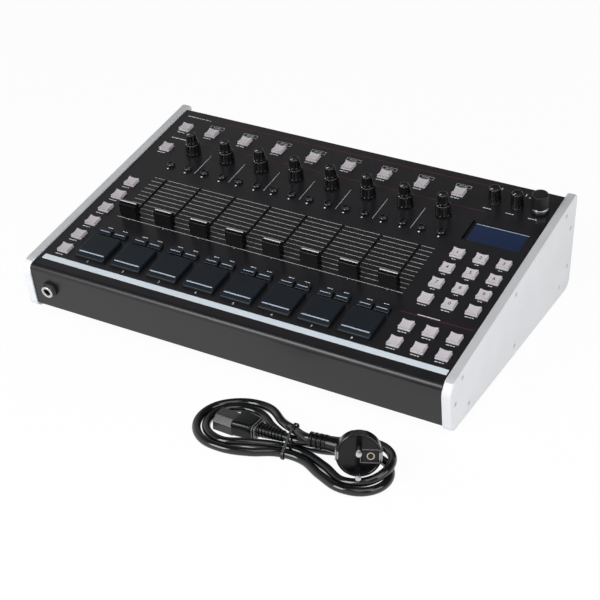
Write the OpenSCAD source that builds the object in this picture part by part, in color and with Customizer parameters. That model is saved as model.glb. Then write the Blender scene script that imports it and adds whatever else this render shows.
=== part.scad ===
// Desktop drum machine with eight channel columns, a keypad, pads and a mains lead.
// The deck slopes up to the back. X runs across, Y to the back, Z up; origin on the floor.

/* [Case] */
// Width over both end cheeks
body_w = 400; // [396:1:420]
// Length of the sloping deck
deck_len = 258.2; // [258:0.1:266]
// Slope of the deck in degrees
slope = 10; // [8:0.5:12]
// Height of the deck's front edge above the floor
front_h = 48.2; // [46:0.1:56]
// Depth of the front skirt, square to the deck
skirt_h = 41; // [38:0.1:41]
// Thickness of the folded sheet
sheet_t = 1.5; // [1.2:0.1:1.8]
// Outer radius of the front fold
fold_r = 5; // [3:0.5:6]
// Height of the bottom sheet above the floor
foot_h = 6.3; // [5:0.1:7]
// Diameter of a rubber foot
foot_d = 18; // [12:1:24]
// Distance of a foot from the side wall
foot_in = 24; // [16:1:40]
// Distance of a foot from the front or back edge
foot_in_y = 26; // [18:1:40]

/* [End cheeks] */
// Thickness of a cheek
cheek_t = 8; // [7:0.1:10]
// How far a cheek stands over the deck and the front
cheek_over = 1.5; // [0.5:0.1:3]
// How far a cheek stands out behind the rear wall
cheek_back = 8.3; // [6:0.1:12]
// Height of a cheek's lower edge above the floor
cheek_gap = 2.5; // [1:0.1:4]
// Rounding of a cheek's outer edge
cheek_edge = 1.5; // [0.5:0.1:2.5]
// Corner radius, front top
cheek_r1 = 12; // [6:0.5:14]
// Corner radius, front bottom
cheek_r2 = 9; // [4:0.5:12]
// Corner radius, back bottom
cheek_r3 = 10; // [4:0.5:12]
// Corner radius, back top
cheek_r4 = 4.5; // [3:0.5:8]
// Shank diameter of a cheek screw
screw_d = 4; // [3:0.1:4.5]
// Head diameter of a cheek screw
screw_head = 7.6; // [6.6:0.1:9]

/* [Faders] */
// Width of a fader slot
slot_w = 2; // [1.8:0.1:3]
// Width of a fader cap
cap_w = 17.2; // [14:0.1:18]
// Depth of a fader cap at its foot
cap_d = 6.6; // [5.6:0.1:8]
// Height of a fader cap's shoulder above the deck
cap_h = 13; // [10:0.1:14]
// Height of a fader cap's ridge above the deck
cap_ridge = 16; // [15:0.1:18]
// Gap between cap and deck
cap_gap = 1; // [0.5:0.1:2]
// Thickness of a fader lever
lever_w = 1.2; // [1:0.1:1.4]
// Depth of a fader lever
lever_d = 2; // [1.6:0.1:2.4]
// Width of a fader body
fbody_w = 9; // [8:0.1:11]
// Length of a fader body past both ends of its slot
fbody_over = 13; // [10:0.5:14]

/* [Knobs] */
// Radius of an outer knob
outer_r = 7; // [6:0.1:7.2]
// Height of an outer knob's top above the deck
outer_top = 11.5; // [9:0.1:13]
// Radius of an inner knob
inner_r = 4.7; // [4.2:0.1:5]
// Height of an inner knob's top above the deck
inner_top = 21.5; // [18:0.1:24]
// Radius of the inner shaft
inner_shaft = 3.05; // [2.5:0.05:3.1]
// Wall of the outer shaft
outer_wall = 0.8; // [0.6:0.05:0.9]
// Running clearance of shafts, on the radius
run_gap = 0.05; // [0.03:0.01:0.08]
// Radius of the two single knobs
pot_knob_r = 5.3; // [4.6:0.1:6]
// Height of a single knob's top above the deck
pot_knob_top = 14.5; // [12:0.1:17]
// Radius of the encoder knob
enc_r = 7.4; // [6:0.1:8]
// Height of the encoder knob's top above the deck
enc_top = 19; // [16:0.1:21]
// Side of a potentiometer body
pot_body = 12; // [11:0.1:12.4]

/* [Keys] */
// Side of a square key
key_a = 11; // [10:0.1:11.4]
// Height of a key's corners above the deck
key_h = 2.4; // [2:0.1:4]
// Radius of the dish in a key
key_dish = 45; // [40:1:120]
// Gap around a key or pad in its opening
key_gap = 0.3; // [0.2:0.05:0.4]
// Width of the collar under the deck around a key
key_lip = 1; // [0.8:0.1:1.2]
// Thickness of that collar
key_lip_t = 1; // [0.8:0.1:1.2]
// Travel of a key
key_travel = 1; // [0.5:0.1:1.2]

/* [Buttons and pads] */
// Radius of a round button's foot
round_r = 3; // [2.4:0.1:3.2]
// Radius of a round button's top
round_r2 = 2.2; // [1.6:0.1:2.4]
// Height of a round button
round_h = 1.9; // [1.2:0.1:3]
// Travel of a round button
round_travel = 0.8; // [0.4:0.1:1]
// Distance of an indicator light in front of its round button
led_off = 5.5; // [5.4:0.1:6.2]
// Diameter of an indicator light
led_d = 1.8; // [1.4:0.1:2.4]
// Depth of a small button over a pad
fn_d = 6.8; // [5:0.1:7]
// Height of a small button
fn_h = 2.6; // [2:0.1:4]
// Gap between neighbouring pads
pad_gap = 7.5; // [7:0.1:12]
// Gap between the two small buttons over a pad
fn_gap = 2.4; // [2.2:0.1:3.4]
// Height of a pad above the deck
pad_h = 3.7; // [2.5:0.1:5]
// Depth of a pad's front bevel
pad_bevel = 3.5; // [2:0.1:5]
// Bevel at the sides and back of a pad
pad_side = 1.2; // [0.5:0.1:2]
// Travel of a pad
pad_travel = 1.5; // [0.5:0.1:1.8]

/* [Display] */
// Width of the display opening
disp_w = 52; // [46:0.1:52]
// Depth of the display opening
disp_d = 27.5; // [22:0.1:27.5]

/* [Board] */
// Depth of the board's top under the deck surface
board_w = 10; // [9.5:0.1:11]
// Thickness of the board
board_t = 1.6; // [1.2:0.1:2]

/* [Headphone jack] */
// Depth of the jack's axis under the deck surface
hp_w = 20.4; // [20:0.1:24]
// Diameter of the jack's collar
hp_collar = 14.5; // [12.5:0.1:16]
// Thickness of the collar
hp_collar_t = 3; // [1.5:0.1:4]
// Diameter of a jack nut over its corners
nut_d = 11.6; // [11:0.1:12]
// Thickness of a jack nut
nut_t = 3; // [2:0.1:4]
// Bore of a jack socket
jack_bore = 6.4; // [6.35:0.05:6.5]
// Diameter of a jack's threaded neck
neck_d = 9.4; // [9:0.1:10]
// Depth of a jack socket behind the panel
jack_depth = 26; // [22:0.5:30]
// Side of a jack housing
jack_body = 14; // [13:0.1:15]

/* [Rear panel] */
// Height of the rear jacks
rj_z = 50; // [46:0.5:56]
// Diameter of the opening of a five-pin socket
midi_d = 15.2; // [14.5:0.1:16]
// Side of a five-pin socket's body
midi_body = 20; // [19:0.1:21]
// Length of a five-pin socket's body
midi_len = 14; // [12:0.5:18]
// Height of the mains inlet
inlet_z = 42; // [40:0.5:48]
// Width of the mains inlet's body
inlet_w = 28; // [27.5:0.1:29]
// Height of the mains inlet's body
inlet_h = 20; // [19.5:0.1:21]
// Depth of the mains inlet's body
inlet_len = 24; // [22:0.5:28]
// Radius of the rocker's drum
rocker_r = 7; // [6:0.1:7.5]
// Width of the rocker
rocker_w = 9; // [7:0.1:10]

/* [Power supply] */
// Width of the power supply
psu_w = 80; // [60:1:84]
// Depth of the power supply
psu_d = 60; // [40:1:64]
// Height of the power supply
psu_h = 28; // [20:1:30]
// Distance from the power supply's back to the rear panel
psu_back = 50; // [30:1:60]

/* [Mains lead] */
// Diameter of the cable
lead_d = 6.9; // [5:0.1:7]
// Radius of the plug's face
plug_r = 17.3; // [16:0.1:18.5]
// Thickness of the plug's front disc
plug_t = 10; // [8:0.1:12]
// Diameter of a plug pin
pin_d = 4.8; // [4:0.1:5]
// Length of a plug pin
pin_len = 19; // [17:0.1:20]
// Distance of the plug pins
pin_gap = 19; // [17:0.1:20]
// Width of the inlet connector's nose
nose_w = 19; // [18:0.1:21.5]
// Height of the inlet connector's nose
nose_h = 12.3; // [11:0.1:13.5]

/* [Hidden] */
$fn = 64;
NCOL = 8;
cs = cos(slope);
sn = sin(slope);
// places across follow the width, places up the slope follow the deck's length
dx = body_w / 400;
ds = deck_len / 258.2;
col_x = -147.5 * dx;
col_p = 36 * dx;
round_x = col_p / 4;
slot_s = 89 * ds;
slot_len = 62 * ds;
fbody_len = slot_len + fbody_over;
knob_s = 197.5 * ds;
row_p = 20.9 * ds;
pad_col_p = 20.7 * dx;
pad_col_x = 137.9 * dx;
left_x = -176 * dx;
left_s = 31.4 * ds;
trans_s = 31.9 * ds;
num_s = 88.9 * ds;
top_s = 230.6 * ds;
perf_s = 195.8 * ds;
round_s = 172.6 * ds;
led_s = round_s - led_off;
pad_w = col_p - pad_gap;
pad_d = 30 * ds;
pad_s = 40.8 * ds;
fn_w = (pad_w - fn_gap - 0.5) / 2;
pair_x = (fn_w + fn_gap) / 2;
fn_s = 63.1 * ds;
disp_x = 157.9 * dx;
disp_s = 185.25 * ds;
hp_x = -174.1 * dx;
rj_x = -10 * dx;
rj_p = 20 * dx;
midi_x = -90 * dx;
midi_p = 24 * dx;
inlet_x = -160 * dx;
rocker_x = -128 * dx;
screw_len = cheek_t + sheet_t - 0.2;
// origin in Y: middle between the front nut and the back of the cheeks
nut_front = -(hp_collar_t + nut_t) * cs + (hp_w - nut_d / 2) * sn;
y0 = -(deck_len * cs + cheek_back + nut_front) / 2;
z0 = front_h;
rear_y = y0 + deck_len * cs;
back_y = rear_y + cheek_back;
wall_x = body_w / 2 - cheek_t;
under = -sheet_t;
board_x = wall_x - sheet_t - 2.5;
board_s0 = 22 * ds;
board_s1 = 250 * ds;
// travel room between a key's foot and the switch below it
foot_w = -3.5;
switch_w = foot_w - key_travel - 0.1;
outer_shaft = inner_shaft + run_gap + outer_wall;
bush_r = outer_shaft + run_gap + 1;
neck_r = neck_d / 2;
hole_gap = 0.1;
led_r = led_d / 2;
lever_low = 6;
cols = [for (i = [0:NCOL - 1]) col_x + col_p * i];
mode_keys_at = concat(
    [for (x = cols) [x, top_s]],
    [[left_x, top_s], [left_x, perf_s]],
    [for (k = [0:5]) [left_x, left_s + row_p * k]]);
keypad_at = concat(
    [for (k = [0:3]) for (j = [0:2]) [pad_col_x + pad_col_p * j, num_s + row_p * k]],
    [for (k = [0:1]) for (j = [0:2]) [pad_col_x + pad_col_p * j, trans_s + row_p * k]]);
pots_at = [[pad_col_x, top_s], [pad_col_x + pad_col_p, top_s]];
enc_at = [pad_col_x + 2 * pad_col_p, top_s];
spacers_at = concat(
    [for (s = [72, 166, 212]) for (m = [-1, 1]) [m * (board_x - 2.5), s * ds]],
    [for (i = [0, 3, 6]) for (s = [76, 214]) [col_x + col_p * (i + 0.5), s * ds]]);
// cheek screws round the edge of the side plates, the lower ones by their height
low_screws = [[deck_len - 14.1, 29], [deck_len - 31.8, foot_h + 8.7], [123.7 * ds, foot_h + 7],
    [31.1, foot_h + 6.9]];
screws_at = concat([[deck_len - 18.6, -5.2], [deck_len - 7.6, -25.5], [126.9 * ds, -5.2],
    [20.7, -5.2], [6.5, -20.9]], [for (p = low_screws) [p.x, w_at(p.x, p.y)]]);
// route of the lead on the floor, by hand: five passes through the tie
route = [[93, -195, 9.7], [105, -195.7, 10], [118.3, -190.2, 10.9], [133.1, -181.1, 10.1],
    [150.9, -171, 9.8], [173.5, -176.7, 11.3], [181, -195.6, 11.4], [173.2, -211.1, 7.8],
    [154.9, -216.1, 4.1], [134.7, -207, 3.9], [112, -199.2, 3.5], [90, -200.7, 3.5],
    [69.2, -209.7, 5.1], [49.1, -215.7, 4.2], [31.9, -207.7, 3.6], [26.3, -190.6, 3.5],
    [34.3, -175.4, 3.7], [57.9, -170.5, 3.7], [77.1, -182.1, 3.7], [99, -189.8, 3.5],
    [119.9, -189.8, 3.7], [138.7, -183.3, 3.6], [158.4, -177, 3.6], [176.9, -185, 4],
    [182.7, -203.2, 3.5], [174.1, -218.7, 3.5], [156.7, -223.9, 3.5], [135, -216.9, 3.5],
    [115, -207.2, 3.5], [95, -207.8, 3.5], [75.6, -217.5, 3.5], [54.8, -222.9, 3.5],
    [34.7, -219.7, 3.5], [20.6, -203.1, 3.5], [21.1, -181.2, 3.6], [36.9, -165.2, 4.1],
    [61.4, -163.1, 5.9], [83, -178.5, 9], [97.8, -189.6, 14.9], [117, -198.3, 18.2]];
// where the connector's body ends and its relief starts
relief_a = [70, -193.8, 7.5];
nose_len = 17.3;
nose_c = 4.8;
conn_len = 18.5;
conn_turn = -2;
plug_at = [159.5, -201.5, 19.2];
plug_turn = [78, 0, 26];
// start of the plug's relief, on the axis of its rear body
relief_b = [155.6, -193.6, 17.3];

// ---------- helpers ----------
// deck frame: x across, s up the slope from the front face, w out of the deck
module deck() translate([0, y0, z0]) rotate([slope, 0, 0]) children();
module rear() translate([0, rear_y, 0]) rotate([-90, 0, 0]) mirror([0, 1, 0]) children();
function yz(s, w) = [y0 + s * cs - w * sn, z0 + s * sn + w * cs];
function w_at(s, z) = (z - z0 - s * sn) / cs;
function z_under(y) = z0 - sheet_t * cs + (y - y0 - sheet_t * sn) / cs * sn;
function unit(v) = v / norm(v);
// arc that rounds corner b between a and c, counter-clockwise
function arc(a, b, c, r, n) =
    let (u = unit(a - b), v = unit(c - b), h = acos(u * v) / 2,
         o = b + unit(u + v) * r / sin(h), t = b + u * r / tan(h) - o,
         a0 = atan2(t.y, t.x))
    [for (k = [0:n]) o + r * [cos(a0 + (180 - 2 * h) * k / n), sin(a0 + (180 - 2 * h) * k / n)]];
function rounded(p, r, n) =
    [for (i = [0:len(p) - 1])
        for (q = arc(p[(i + len(p) - 1) % len(p)], p[i], p[(i + 1) % len(p)], r[i], n)) q];
// extrude a (y, z) outline along X from x to x + l
module along_x(x, l) translate([x, 0, 0]) rotate([90, 0, 90]) linear_extrude(l) children();
// box given by its centre in x and s and its two w levels
module slab(x, s, a, b, lo, hi)
    translate([x - a / 2, s - b / 2, lo]) cube([a, b, hi - lo]);
// post given by its centre and its two w levels
module post(x, s, r, lo, hi) translate([x, s, lo]) cylinder(r = r, h = hi - lo);
module cone(x, s, r1, r2, lo, hi) translate([x, s, lo]) cylinder(r1 = r1, r2 = r2, h = hi - lo);

// ---------- case ----------
module openings() {
    for (x = cols) {
        slab(x, slot_s + slot_len / 2, slot_w, slot_len, -3, 1);
        post(x, knob_s, bush_r + hole_gap, -3, 1);
        slab(x, pad_s, pad_w + 2 * key_gap, pad_d + 2 * key_gap, -3, 1);
        for (m = [-1, 1]) {
            post(x + m * round_x, led_s, led_r + run_gap, -3, 1);
            post(x + m * round_x, round_s, round_r + key_gap, -3, 1);
            slab(x + m * pair_x, fn_s, fn_w + 2 * key_gap, fn_d + 2 * key_gap, -3, 1);
        }
    }
    for (p = concat(mode_keys_at, keypad_at))
        slab(p.x, p.y, key_a + 2 * key_gap, key_a + 2 * key_gap, -3, 1);
    for (p = concat(pots_at, [enc_at])) post(p.x, p.y, bush_r + hole_gap, -3, 1);
    slab(disp_x, disp_s, disp_w, disp_d, -3, 1);
    translate([hp_x, -1, -hp_w]) rotate([-90, 0, 0])
        cylinder(r = neck_r + hole_gap, h = sheet_t + 2);
}

module top_panel() color("#28282c") deck() difference() {
    union() {
        translate([-wall_x, fold_r, -sheet_t]) cube([2 * wall_x, deck_len - fold_r, sheet_t]);
        translate([-wall_x, 0, -skirt_h]) cube([2 * wall_x, sheet_t, skirt_h - fold_r]);
        translate([-wall_x, fold_r, -fold_r]) rotate([0, 90, 0]) difference() {
            cylinder(r = fold_r, h = 2 * wall_x);
            translate([0, 0, -1]) cylinder(r = fold_r - sheet_t, h = 2 * wall_x + 2);
            translate([0, -2 * fold_r, -1]) cube([2 * fold_r, 4 * fold_r, 2 * wall_x + 2]);
            translate([-2 * fold_r, 0, -1]) cube([4 * fold_r, 2 * fold_r, 2 * wall_x + 2]);
        }
    }
    openings();
}

// flat sheets under the deck, as (y, z) outlines drawn out along X
floor_z = foot_h + sheet_t;
inner_y = rear_y - sheet_t;
module bottom_plate() color("#2b2b2f") along_x(-wall_x, 2 * wall_x)
    polygon([yz(sheet_t, w_at(sheet_t, foot_h)), [rear_y, foot_h], [rear_y, floor_z],
        yz(sheet_t, w_at(sheet_t, floor_z))]);

module side_plates() color("#2b2b2f") for (m = [0, 1]) mirror([m, 0, 0]) difference() {
    along_x(wall_x - sheet_t, sheet_t) polygon([yz(sheet_t, w_at(sheet_t, floor_z)),
        [rear_y, floor_z], [rear_y, z_under(rear_y)], yz(fold_r, -sheet_t), yz(sheet_t, -fold_r)]);
    for (p = screws_at) deck() translate([wall_x, p.x, p.y]) rotate([0, 90, 0])
        cylinder(r = screw_d / 2 + run_gap, h = 4 * sheet_t, center = true);
}

module rear_panel() color("#2b2b2f") difference() {
    along_x(sheet_t - wall_x, 2 * (wall_x - sheet_t)) polygon([[inner_y, floor_z],
        [rear_y, floor_z], [rear_y, z_under(rear_y)], [inner_y, z_under(inner_y)]]);
    for (i = [0:9]) rear_hole(rj_x + rj_p * i, rj_z, neck_r + hole_gap);
    for (i = [0:2]) rear_hole(midi_x + midi_p * i, rj_z, midi_d / 2 + 1 + hole_gap);
    translate([inlet_x - inlet_w / 2 - hole_gap, rear_y - 3, inlet_z - inlet_h / 2 - hole_gap])
        cube([inlet_w + 2 * hole_gap, 6, inlet_h + 2 * hole_gap]);
    translate([rocker_x - rocker_w / 2 - 1.1, rear_y - 3, inlet_z - rocker_r - 1.1])
        cube([rocker_w + 2.2, 6, 2 * rocker_r + 2.2]);
}
module rear_hole(x, z, r) translate([x, rear_y - 3, z]) rotate([-90, 0, 0])
    cylinder(r = r, h = 6);

// corners of a cheek in (y, z), counter-clockwise from the front bottom
cheek_p = [yz(-cheek_over, w_at(-cheek_over, cheek_gap)), [back_y, cheek_gap],
    [back_y, z0 + cheek_over * cs + (back_y - y0 + cheek_over * sn) / cs * sn],
    yz(-cheek_over, cheek_over)];
cheek_r = [cheek_r2, cheek_r3, cheek_r4, cheek_r1];
module cheek_slice(x, l, inset) along_x(x, l) translate((cheek_p[0] + cheek_p[2]) / 2)
    scale(1 - inset / 130) translate(-(cheek_p[0] + cheek_p[2]) / 2)
        polygon(rounded(cheek_p, cheek_r, 10));
module end_cheek() difference() {
    hull() {
        cheek_slice(wall_x, cheek_t - cheek_edge, 0);
        cheek_slice(wall_x, cheek_t - 0.3 * cheek_edge, 0.3 * cheek_edge);
        cheek_slice(wall_x, cheek_t, cheek_edge);
    }
    for (p = screws_at) deck() translate([body_w / 2, p.x, p.y]) rotate([0, -90, 0]) {
        cylinder(r = screw_d / 2 + run_gap, h = cheek_t + 1);
        translate([0, 0, -0.01]) cylinder(r1 = screw_head / 2 + run_gap,
            r2 = screw_d / 2 + run_gap, h = (screw_head - screw_d) / 2);
    }
}
module end_cheek_right() color("#dcdde0") end_cheek();
module end_cheek_left() color("#dcdde0") mirror([1, 0, 0]) end_cheek();

module cheek_screws() color("#8a8c90") for (m = [0, 1]) mirror([m, 0, 0])
    for (p = screws_at) deck() translate([body_w / 2 - 0.1, p.x, p.y]) rotate([0, -90, 0])
        difference() {
            union() {
                cylinder(r = screw_d / 2, h = screw_len);
                cylinder(r1 = screw_head / 2 - 0.1, r2 = screw_d / 2,
                    h = (screw_head - screw_d) / 2 - 0.1);
            }
            translate([0, 0, -1]) cylinder(r = screw_d * 0.33, h = 2.2, $fn = 6);
        }

module rubber_feet() color("#202022") for (m = [-1, 1])
    for (y = [yz(0, -skirt_h).x + foot_in_y, rear_y - foot_in_y])
        translate([m * (wall_x - foot_in), y, 0]) cylinder(r = foot_d / 2, h = foot_h);

// ---------- inside ----------
module panel_leds() color("#f4f6f8") deck() for (x = cols) for (m = [-1, 1]) {
    post(x + m * round_x, led_s, led_r, -sheet_t - 0.5, 0.2);
    post(x + m * round_x, led_s, 1.5, -board_w, -sheet_t - 0.1);
}

module display() color("#20304f") deck() {
    slab(disp_x, disp_s, disp_w + 4, disp_d + 3.5, -2 * sheet_t, under);
    slab(disp_x, disp_s, disp_w + 1, disp_d + 1, -board_w, -2 * sheet_t + 0.01);
}

module control_board() color("#2f5d3a") deck() {
    translate([-board_x, board_s0, -board_w - board_t])
        cube([2 * board_x, board_s1 - board_s0, board_t]);
    for (p = spacers_at) post(p.x, p.y, 2.4, -board_w - 0.1, under);
    for (p = concat(mode_keys_at, keypad_at)) tact(p.x, p.y, switch_w);
    for (x = cols) {
        slab(x, pad_s, pad_w - 4, pad_d - 4, -board_w - 0.1, foot_w - pad_travel - 0.1);
        for (m = [-1, 1]) {
            tact(x + m * pair_x, fn_s, switch_w);
            post(x + m * round_x, round_s, 1.7, -board_w - 0.1, foot_w - round_travel - 0.1);
        }
    }
}
module tact(x, s, top) {
    slab(x, s, 6, 5.4, -board_w - 0.1, top - 0.6);
    post(x, s, 1.7, top - 0.7, top);
}

module control_bodies() color("#9a9da1") deck() {
    for (x = cols) difference() {
        slab(x, slot_s + slot_len / 2, fbody_w, fbody_len, -board_w, under);
        slab(x, slot_s + slot_len / 2, lever_w + 0.3, slot_len, -lever_low - 0.5, 0);
    }
    for (x = cols) difference() {
        pot_shell(x, knob_s);
        post(x, knob_s, outer_shaft + run_gap, -7.2, 1);
        post(x, knob_s, inner_shaft + run_gap, -9.2, 0);
    }
    for (p = concat(pots_at, [enc_at])) difference() {
        pot_shell(p.x, p.y);
        post(p.x, p.y, inner_shaft + run_gap, -8.2, 1);
    }
}
module pot_shell(x, s) {
    slab(x, s, pot_body, pot_body, -board_w, under);
    post(x, s, bush_r, under - 0.1, 0.6);
}

// ---------- deck controls ----------
module key(x, s) {
    difference() {
        slab(x, s, key_a, key_a, under - 0.1, key_h);
        translate([x, s, key_h + key_dish - 0.55]) sphere(r = key_dish, $fn = 200);
    }
    slab(x, s, key_a + 2 * (key_gap + key_lip), key_a + 2 * (key_gap + key_lip),
        under - key_lip_t, under);
    post(x, s, 1.8, foot_w, under - key_lip_t + 0.1);
}
module mode_keys() color("#c8c0c4") deck() for (p = mode_keys_at) key(p.x, p.y);
module keypad_keys() color("#c8c0c4") deck() for (p = keypad_at) key(p.x, p.y);

module track_buttons() color("#1d1d20") deck() for (x = cols) for (m = [-1, 1]) {
    post(x + m * round_x, round_s, round_r, under - 0.1, 0.4);
    cone(x + m * round_x, round_s, round_r, round_r2, 0.4, round_h);
    post(x + m * round_x, round_s, round_r + key_gap + 0.5, under - key_lip_t, under);
    post(x + m * round_x, round_s, 1.5, foot_w, under - key_lip_t + 0.1);
}

// button with a bevel at its front: side outline times front outline
module bevelled(x, s, a, b, lo, h, front, side) intersection() {
    along_x(x - a / 2, a) polygon([[s - b / 2, lo], [s + b / 2, lo], [s + b / 2, h - side],
        [s + b / 2 - side, h], [s - b / 2 + front, h], [s - b / 2, h - front / 2]]);
    translate([0, s + b / 2, 0]) rotate([90, 0, 0]) linear_extrude(b)
        polygon([[x - a / 2, lo], [x + a / 2, lo], [x + a / 2, h - side],
            [x + a / 2 - side, h], [x - a / 2 + side, h], [x - a / 2, h - side]]);
}
module pad_buttons() color("#22282e") deck() for (x = cols) for (m = [-1, 1]) {
    bevelled(x + m * pair_x, fn_s, fn_w, fn_d, under - 0.1, fn_h, 2.4, 0.5);
    slab(x + m * pair_x, fn_s, fn_w + 1.4, fn_d + 1.6, under - key_lip_t, under);
    post(x + m * pair_x, fn_s, 1.8, foot_w, under - key_lip_t + 0.1);
}

module drum_pad(i) color("#22282e") deck() {
    bevelled(cols[i], pad_s, pad_w, pad_d, under - 0.1, pad_h, pad_bevel, pad_side);
    slab(cols[i], pad_s, pad_w + 2.5, pad_d + 2.5, -2 * sheet_t, under);
    slab(cols[i], pad_s, pad_w - 4, pad_d - 4, foot_w, -2 * sheet_t + 0.1);
}

module fader_cap(i) color("#26262a") deck() {
    along_x(cols[i] - cap_w / 2, cap_w) translate([slot_s + lever_d / 2 + 1.5, 0])
        polygon([[-cap_d / 2, cap_gap], [cap_d / 2, cap_gap], [cap_d / 2, cap_h],
            [0.5, cap_ridge], [-0.5, cap_ridge], [-cap_d / 2, cap_h]]);
    slab(cols[i], slot_s + lever_d / 2 + 1.5, lever_w, lever_d, -lever_low, cap_gap + 0.1);
}

module flutes(x, s, r, n, d, lo, hi) for (k = [0:n - 1])
    post(x + (r + 0.3 * d) * cos(360 * k / n), s + (r + 0.3 * d) * sin(360 * k / n), d, lo, hi);
// fluted body with a low crown inside the flutes
module fluted(x, s, r, n, d, lo, hi) {
    difference() {
        post(x, s, r, lo, hi - 0.4);
        flutes(x, s, r, n, d, lo + 0.8, hi);
    }
    cone(x, s, r - 0.7 * d - 0.1, r - 0.7 * d - 0.4, hi - 0.5, hi);
}

module outer_knob(i) color("#28282c") deck() difference() {
    union() {
        fluted(cols[i], knob_s, outer_r, 12, 0.7, 0.8, outer_top);
        post(cols[i], knob_s, outer_shaft, -7, 1);
    }
    post(cols[i], knob_s, inner_shaft + run_gap, -8, outer_top + 1);
}

module inner_knob(i) color("#28282c") deck() {
    fluted(cols[i], knob_s, inner_r, 8, 0.6, outer_top + 0.3, inner_top);
    post(cols[i], knob_s, inner_shaft, -9, outer_top + 1);
}

module pot_knob(p) color("#28282c") deck() {
    fluted(p.x, p.y, pot_knob_r, 10, 0.6, 1, pot_knob_top);
    post(p.x, p.y, inner_shaft, -8, 1.1);
}
module select_encoder() color("#303034") deck() {
    cone(enc_at.x, enc_at.y, enc_r, enc_r, 1, 2.5);
    cone(enc_at.x, enc_at.y, enc_r - 0.4, enc_r - 0.4, 2.4, 5.5);
    cone(enc_at.x, enc_at.y, enc_r, enc_r - 0.3, 5.5, enc_top - 1);
    cone(enc_at.x, enc_at.y, enc_r - 0.3, enc_r - 0.6, enc_top - 1, enc_top - 0.4);
    cone(enc_at.x, enc_at.y, enc_r - 0.6, enc_r - 1.2, enc_top - 0.4, enc_top);
    post(enc_at.x, enc_at.y, inner_shaft, -8, 1.1);
}

// ---------- connectors ----------
// jack along +Z: housing below 0, neck through the wall, nut on top
module jack(wall, collar_r, collar_t) difference() {
    union() {
        translate([-jack_body / 2, -jack_body / 2, -wall - jack_depth])
            cube([jack_body, jack_body, jack_depth]);
        translate([0, 0, -wall - 0.1]) cylinder(r = neck_r, h = wall + collar_t + 0.2);
        if (collar_t > 0) cylinder(r = collar_r, h = collar_t);
        translate([0, 0, collar_t]) cylinder(r = nut_d / 2, h = nut_t, $fn = 6);
    }
    translate([0, 0, -wall - jack_depth + 2])
        cylinder(r = jack_bore / 2, h = wall + jack_depth + collar_t + nut_t);
}
module headphone_jack() color("#b9bcc0") deck()
    translate([hp_x, 0, -hp_w]) rotate([90, 0, 0])
        jack(sheet_t, hp_collar / 2, hp_collar_t);

// row of jacks and the three five-pin sockets beside them
module rear_sockets() color("#1c1c1e") {
    for (i = [0:9]) translate([rj_x + rj_p * i, rear_y, rj_z]) rotate([-90, 0, 0])
        jack(sheet_t, 0, 0);
    for (i = [0:2]) five_pin(midi_x + midi_p * i);
}
module five_pin(x) translate([x, rear_y, rj_z]) rotate([-90, 0, 0]) difference() {
    union() {
        translate([-midi_body / 2, -midi_body / 2, -sheet_t - midi_len])
            cube([midi_body, midi_body, midi_len]);
        translate([0, 0, -sheet_t - 0.1]) cylinder(r = midi_d / 2 + 1, h = sheet_t + 0.6);
    }
    translate([0, 0, -8]) cylinder(r = midi_d / 2, h = 10);
    for (a = [-90, -45, 0, 45, 90]) translate([5 * sin(a), 5 * cos(a), -12])
        cylinder(r = 0.8, h = 6);
}

// inlet block with three pins and the frame of the rocker beside it
module power_inlet() color("#161618") {
    translate([inlet_x, rear_y, inlet_z]) difference() {
        union() {
            translate([-inlet_w / 2, -inlet_len, -inlet_h / 2])
                cube([inlet_w, inlet_len + 0.1, inlet_h]);
            translate([-inlet_w / 2 - 3, 0, -inlet_h / 2 - 3]) cube([inlet_w + 6, 2, inlet_h + 6]);
            translate([rocker_x - inlet_x - rocker_w / 2 - 3, 0, -rocker_r - 3])
                cube([rocker_w + 6, 2, 2 * rocker_r + 6]);
            translate([inlet_w / 2 + 2, 0, -rocker_r - 3])
                cube([rocker_x - inlet_x - inlet_w / 2 - 2, 2, 2 * rocker_r + 6]);
            translate([rocker_x - inlet_x - rocker_w / 2 - 1, -17, -rocker_r - 1])
                cube([rocker_w + 2, 17.1, 2 * rocker_r + 2]);
        }
        translate([1.8 - inlet_w / 2, 6 - inlet_len, 1.8 - inlet_h / 2])
            cube([inlet_w - 3.6, inlet_len, inlet_h - 3.6]);
        translate([rocker_x - inlet_x - rocker_w / 2 - 0.1, -14, -rocker_r - 0.15])
            cube([rocker_w + 0.2, 20, 2 * rocker_r + 0.3]);
    }
    for (p = [[-7, -2], [7, -2], [0, 2]])
        translate([inlet_x + p.x - 2, rear_y + 5.9 - inlet_len, inlet_z + p.y - 1])
            cube([4, inlet_len - 9.9, 2]);
}
// drum with two flats; at rest its lower flat lies level with the frame
module power_rocker() color("#b02020") translate([rocker_x - rocker_w / 2, rear_y - 4, inlet_z])
    rotate([0, 90, 0]) intersection() {
        cylinder(r = rocker_r, h = rocker_w);
        for (a = [-16, 0]) rotate([0, 0, a]) translate([-2 * rocker_r, -2 * rocker_r, -1])
            cube([4 * rocker_r, 2 * rocker_r + rocker_r - 1.2, rocker_w + 2]);
    }
module power_supply() color("#9da0a3")
    translate([inlet_x - psu_w / 4, rear_y - psu_back - psu_d, floor_z])
        cube([psu_w, psu_d, psu_h]);

// ---------- mains lead ----------
dir_a = unit(route[0] - relief_a);
dir_b = unit(relief_b - route[len(route) - 1]);
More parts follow.
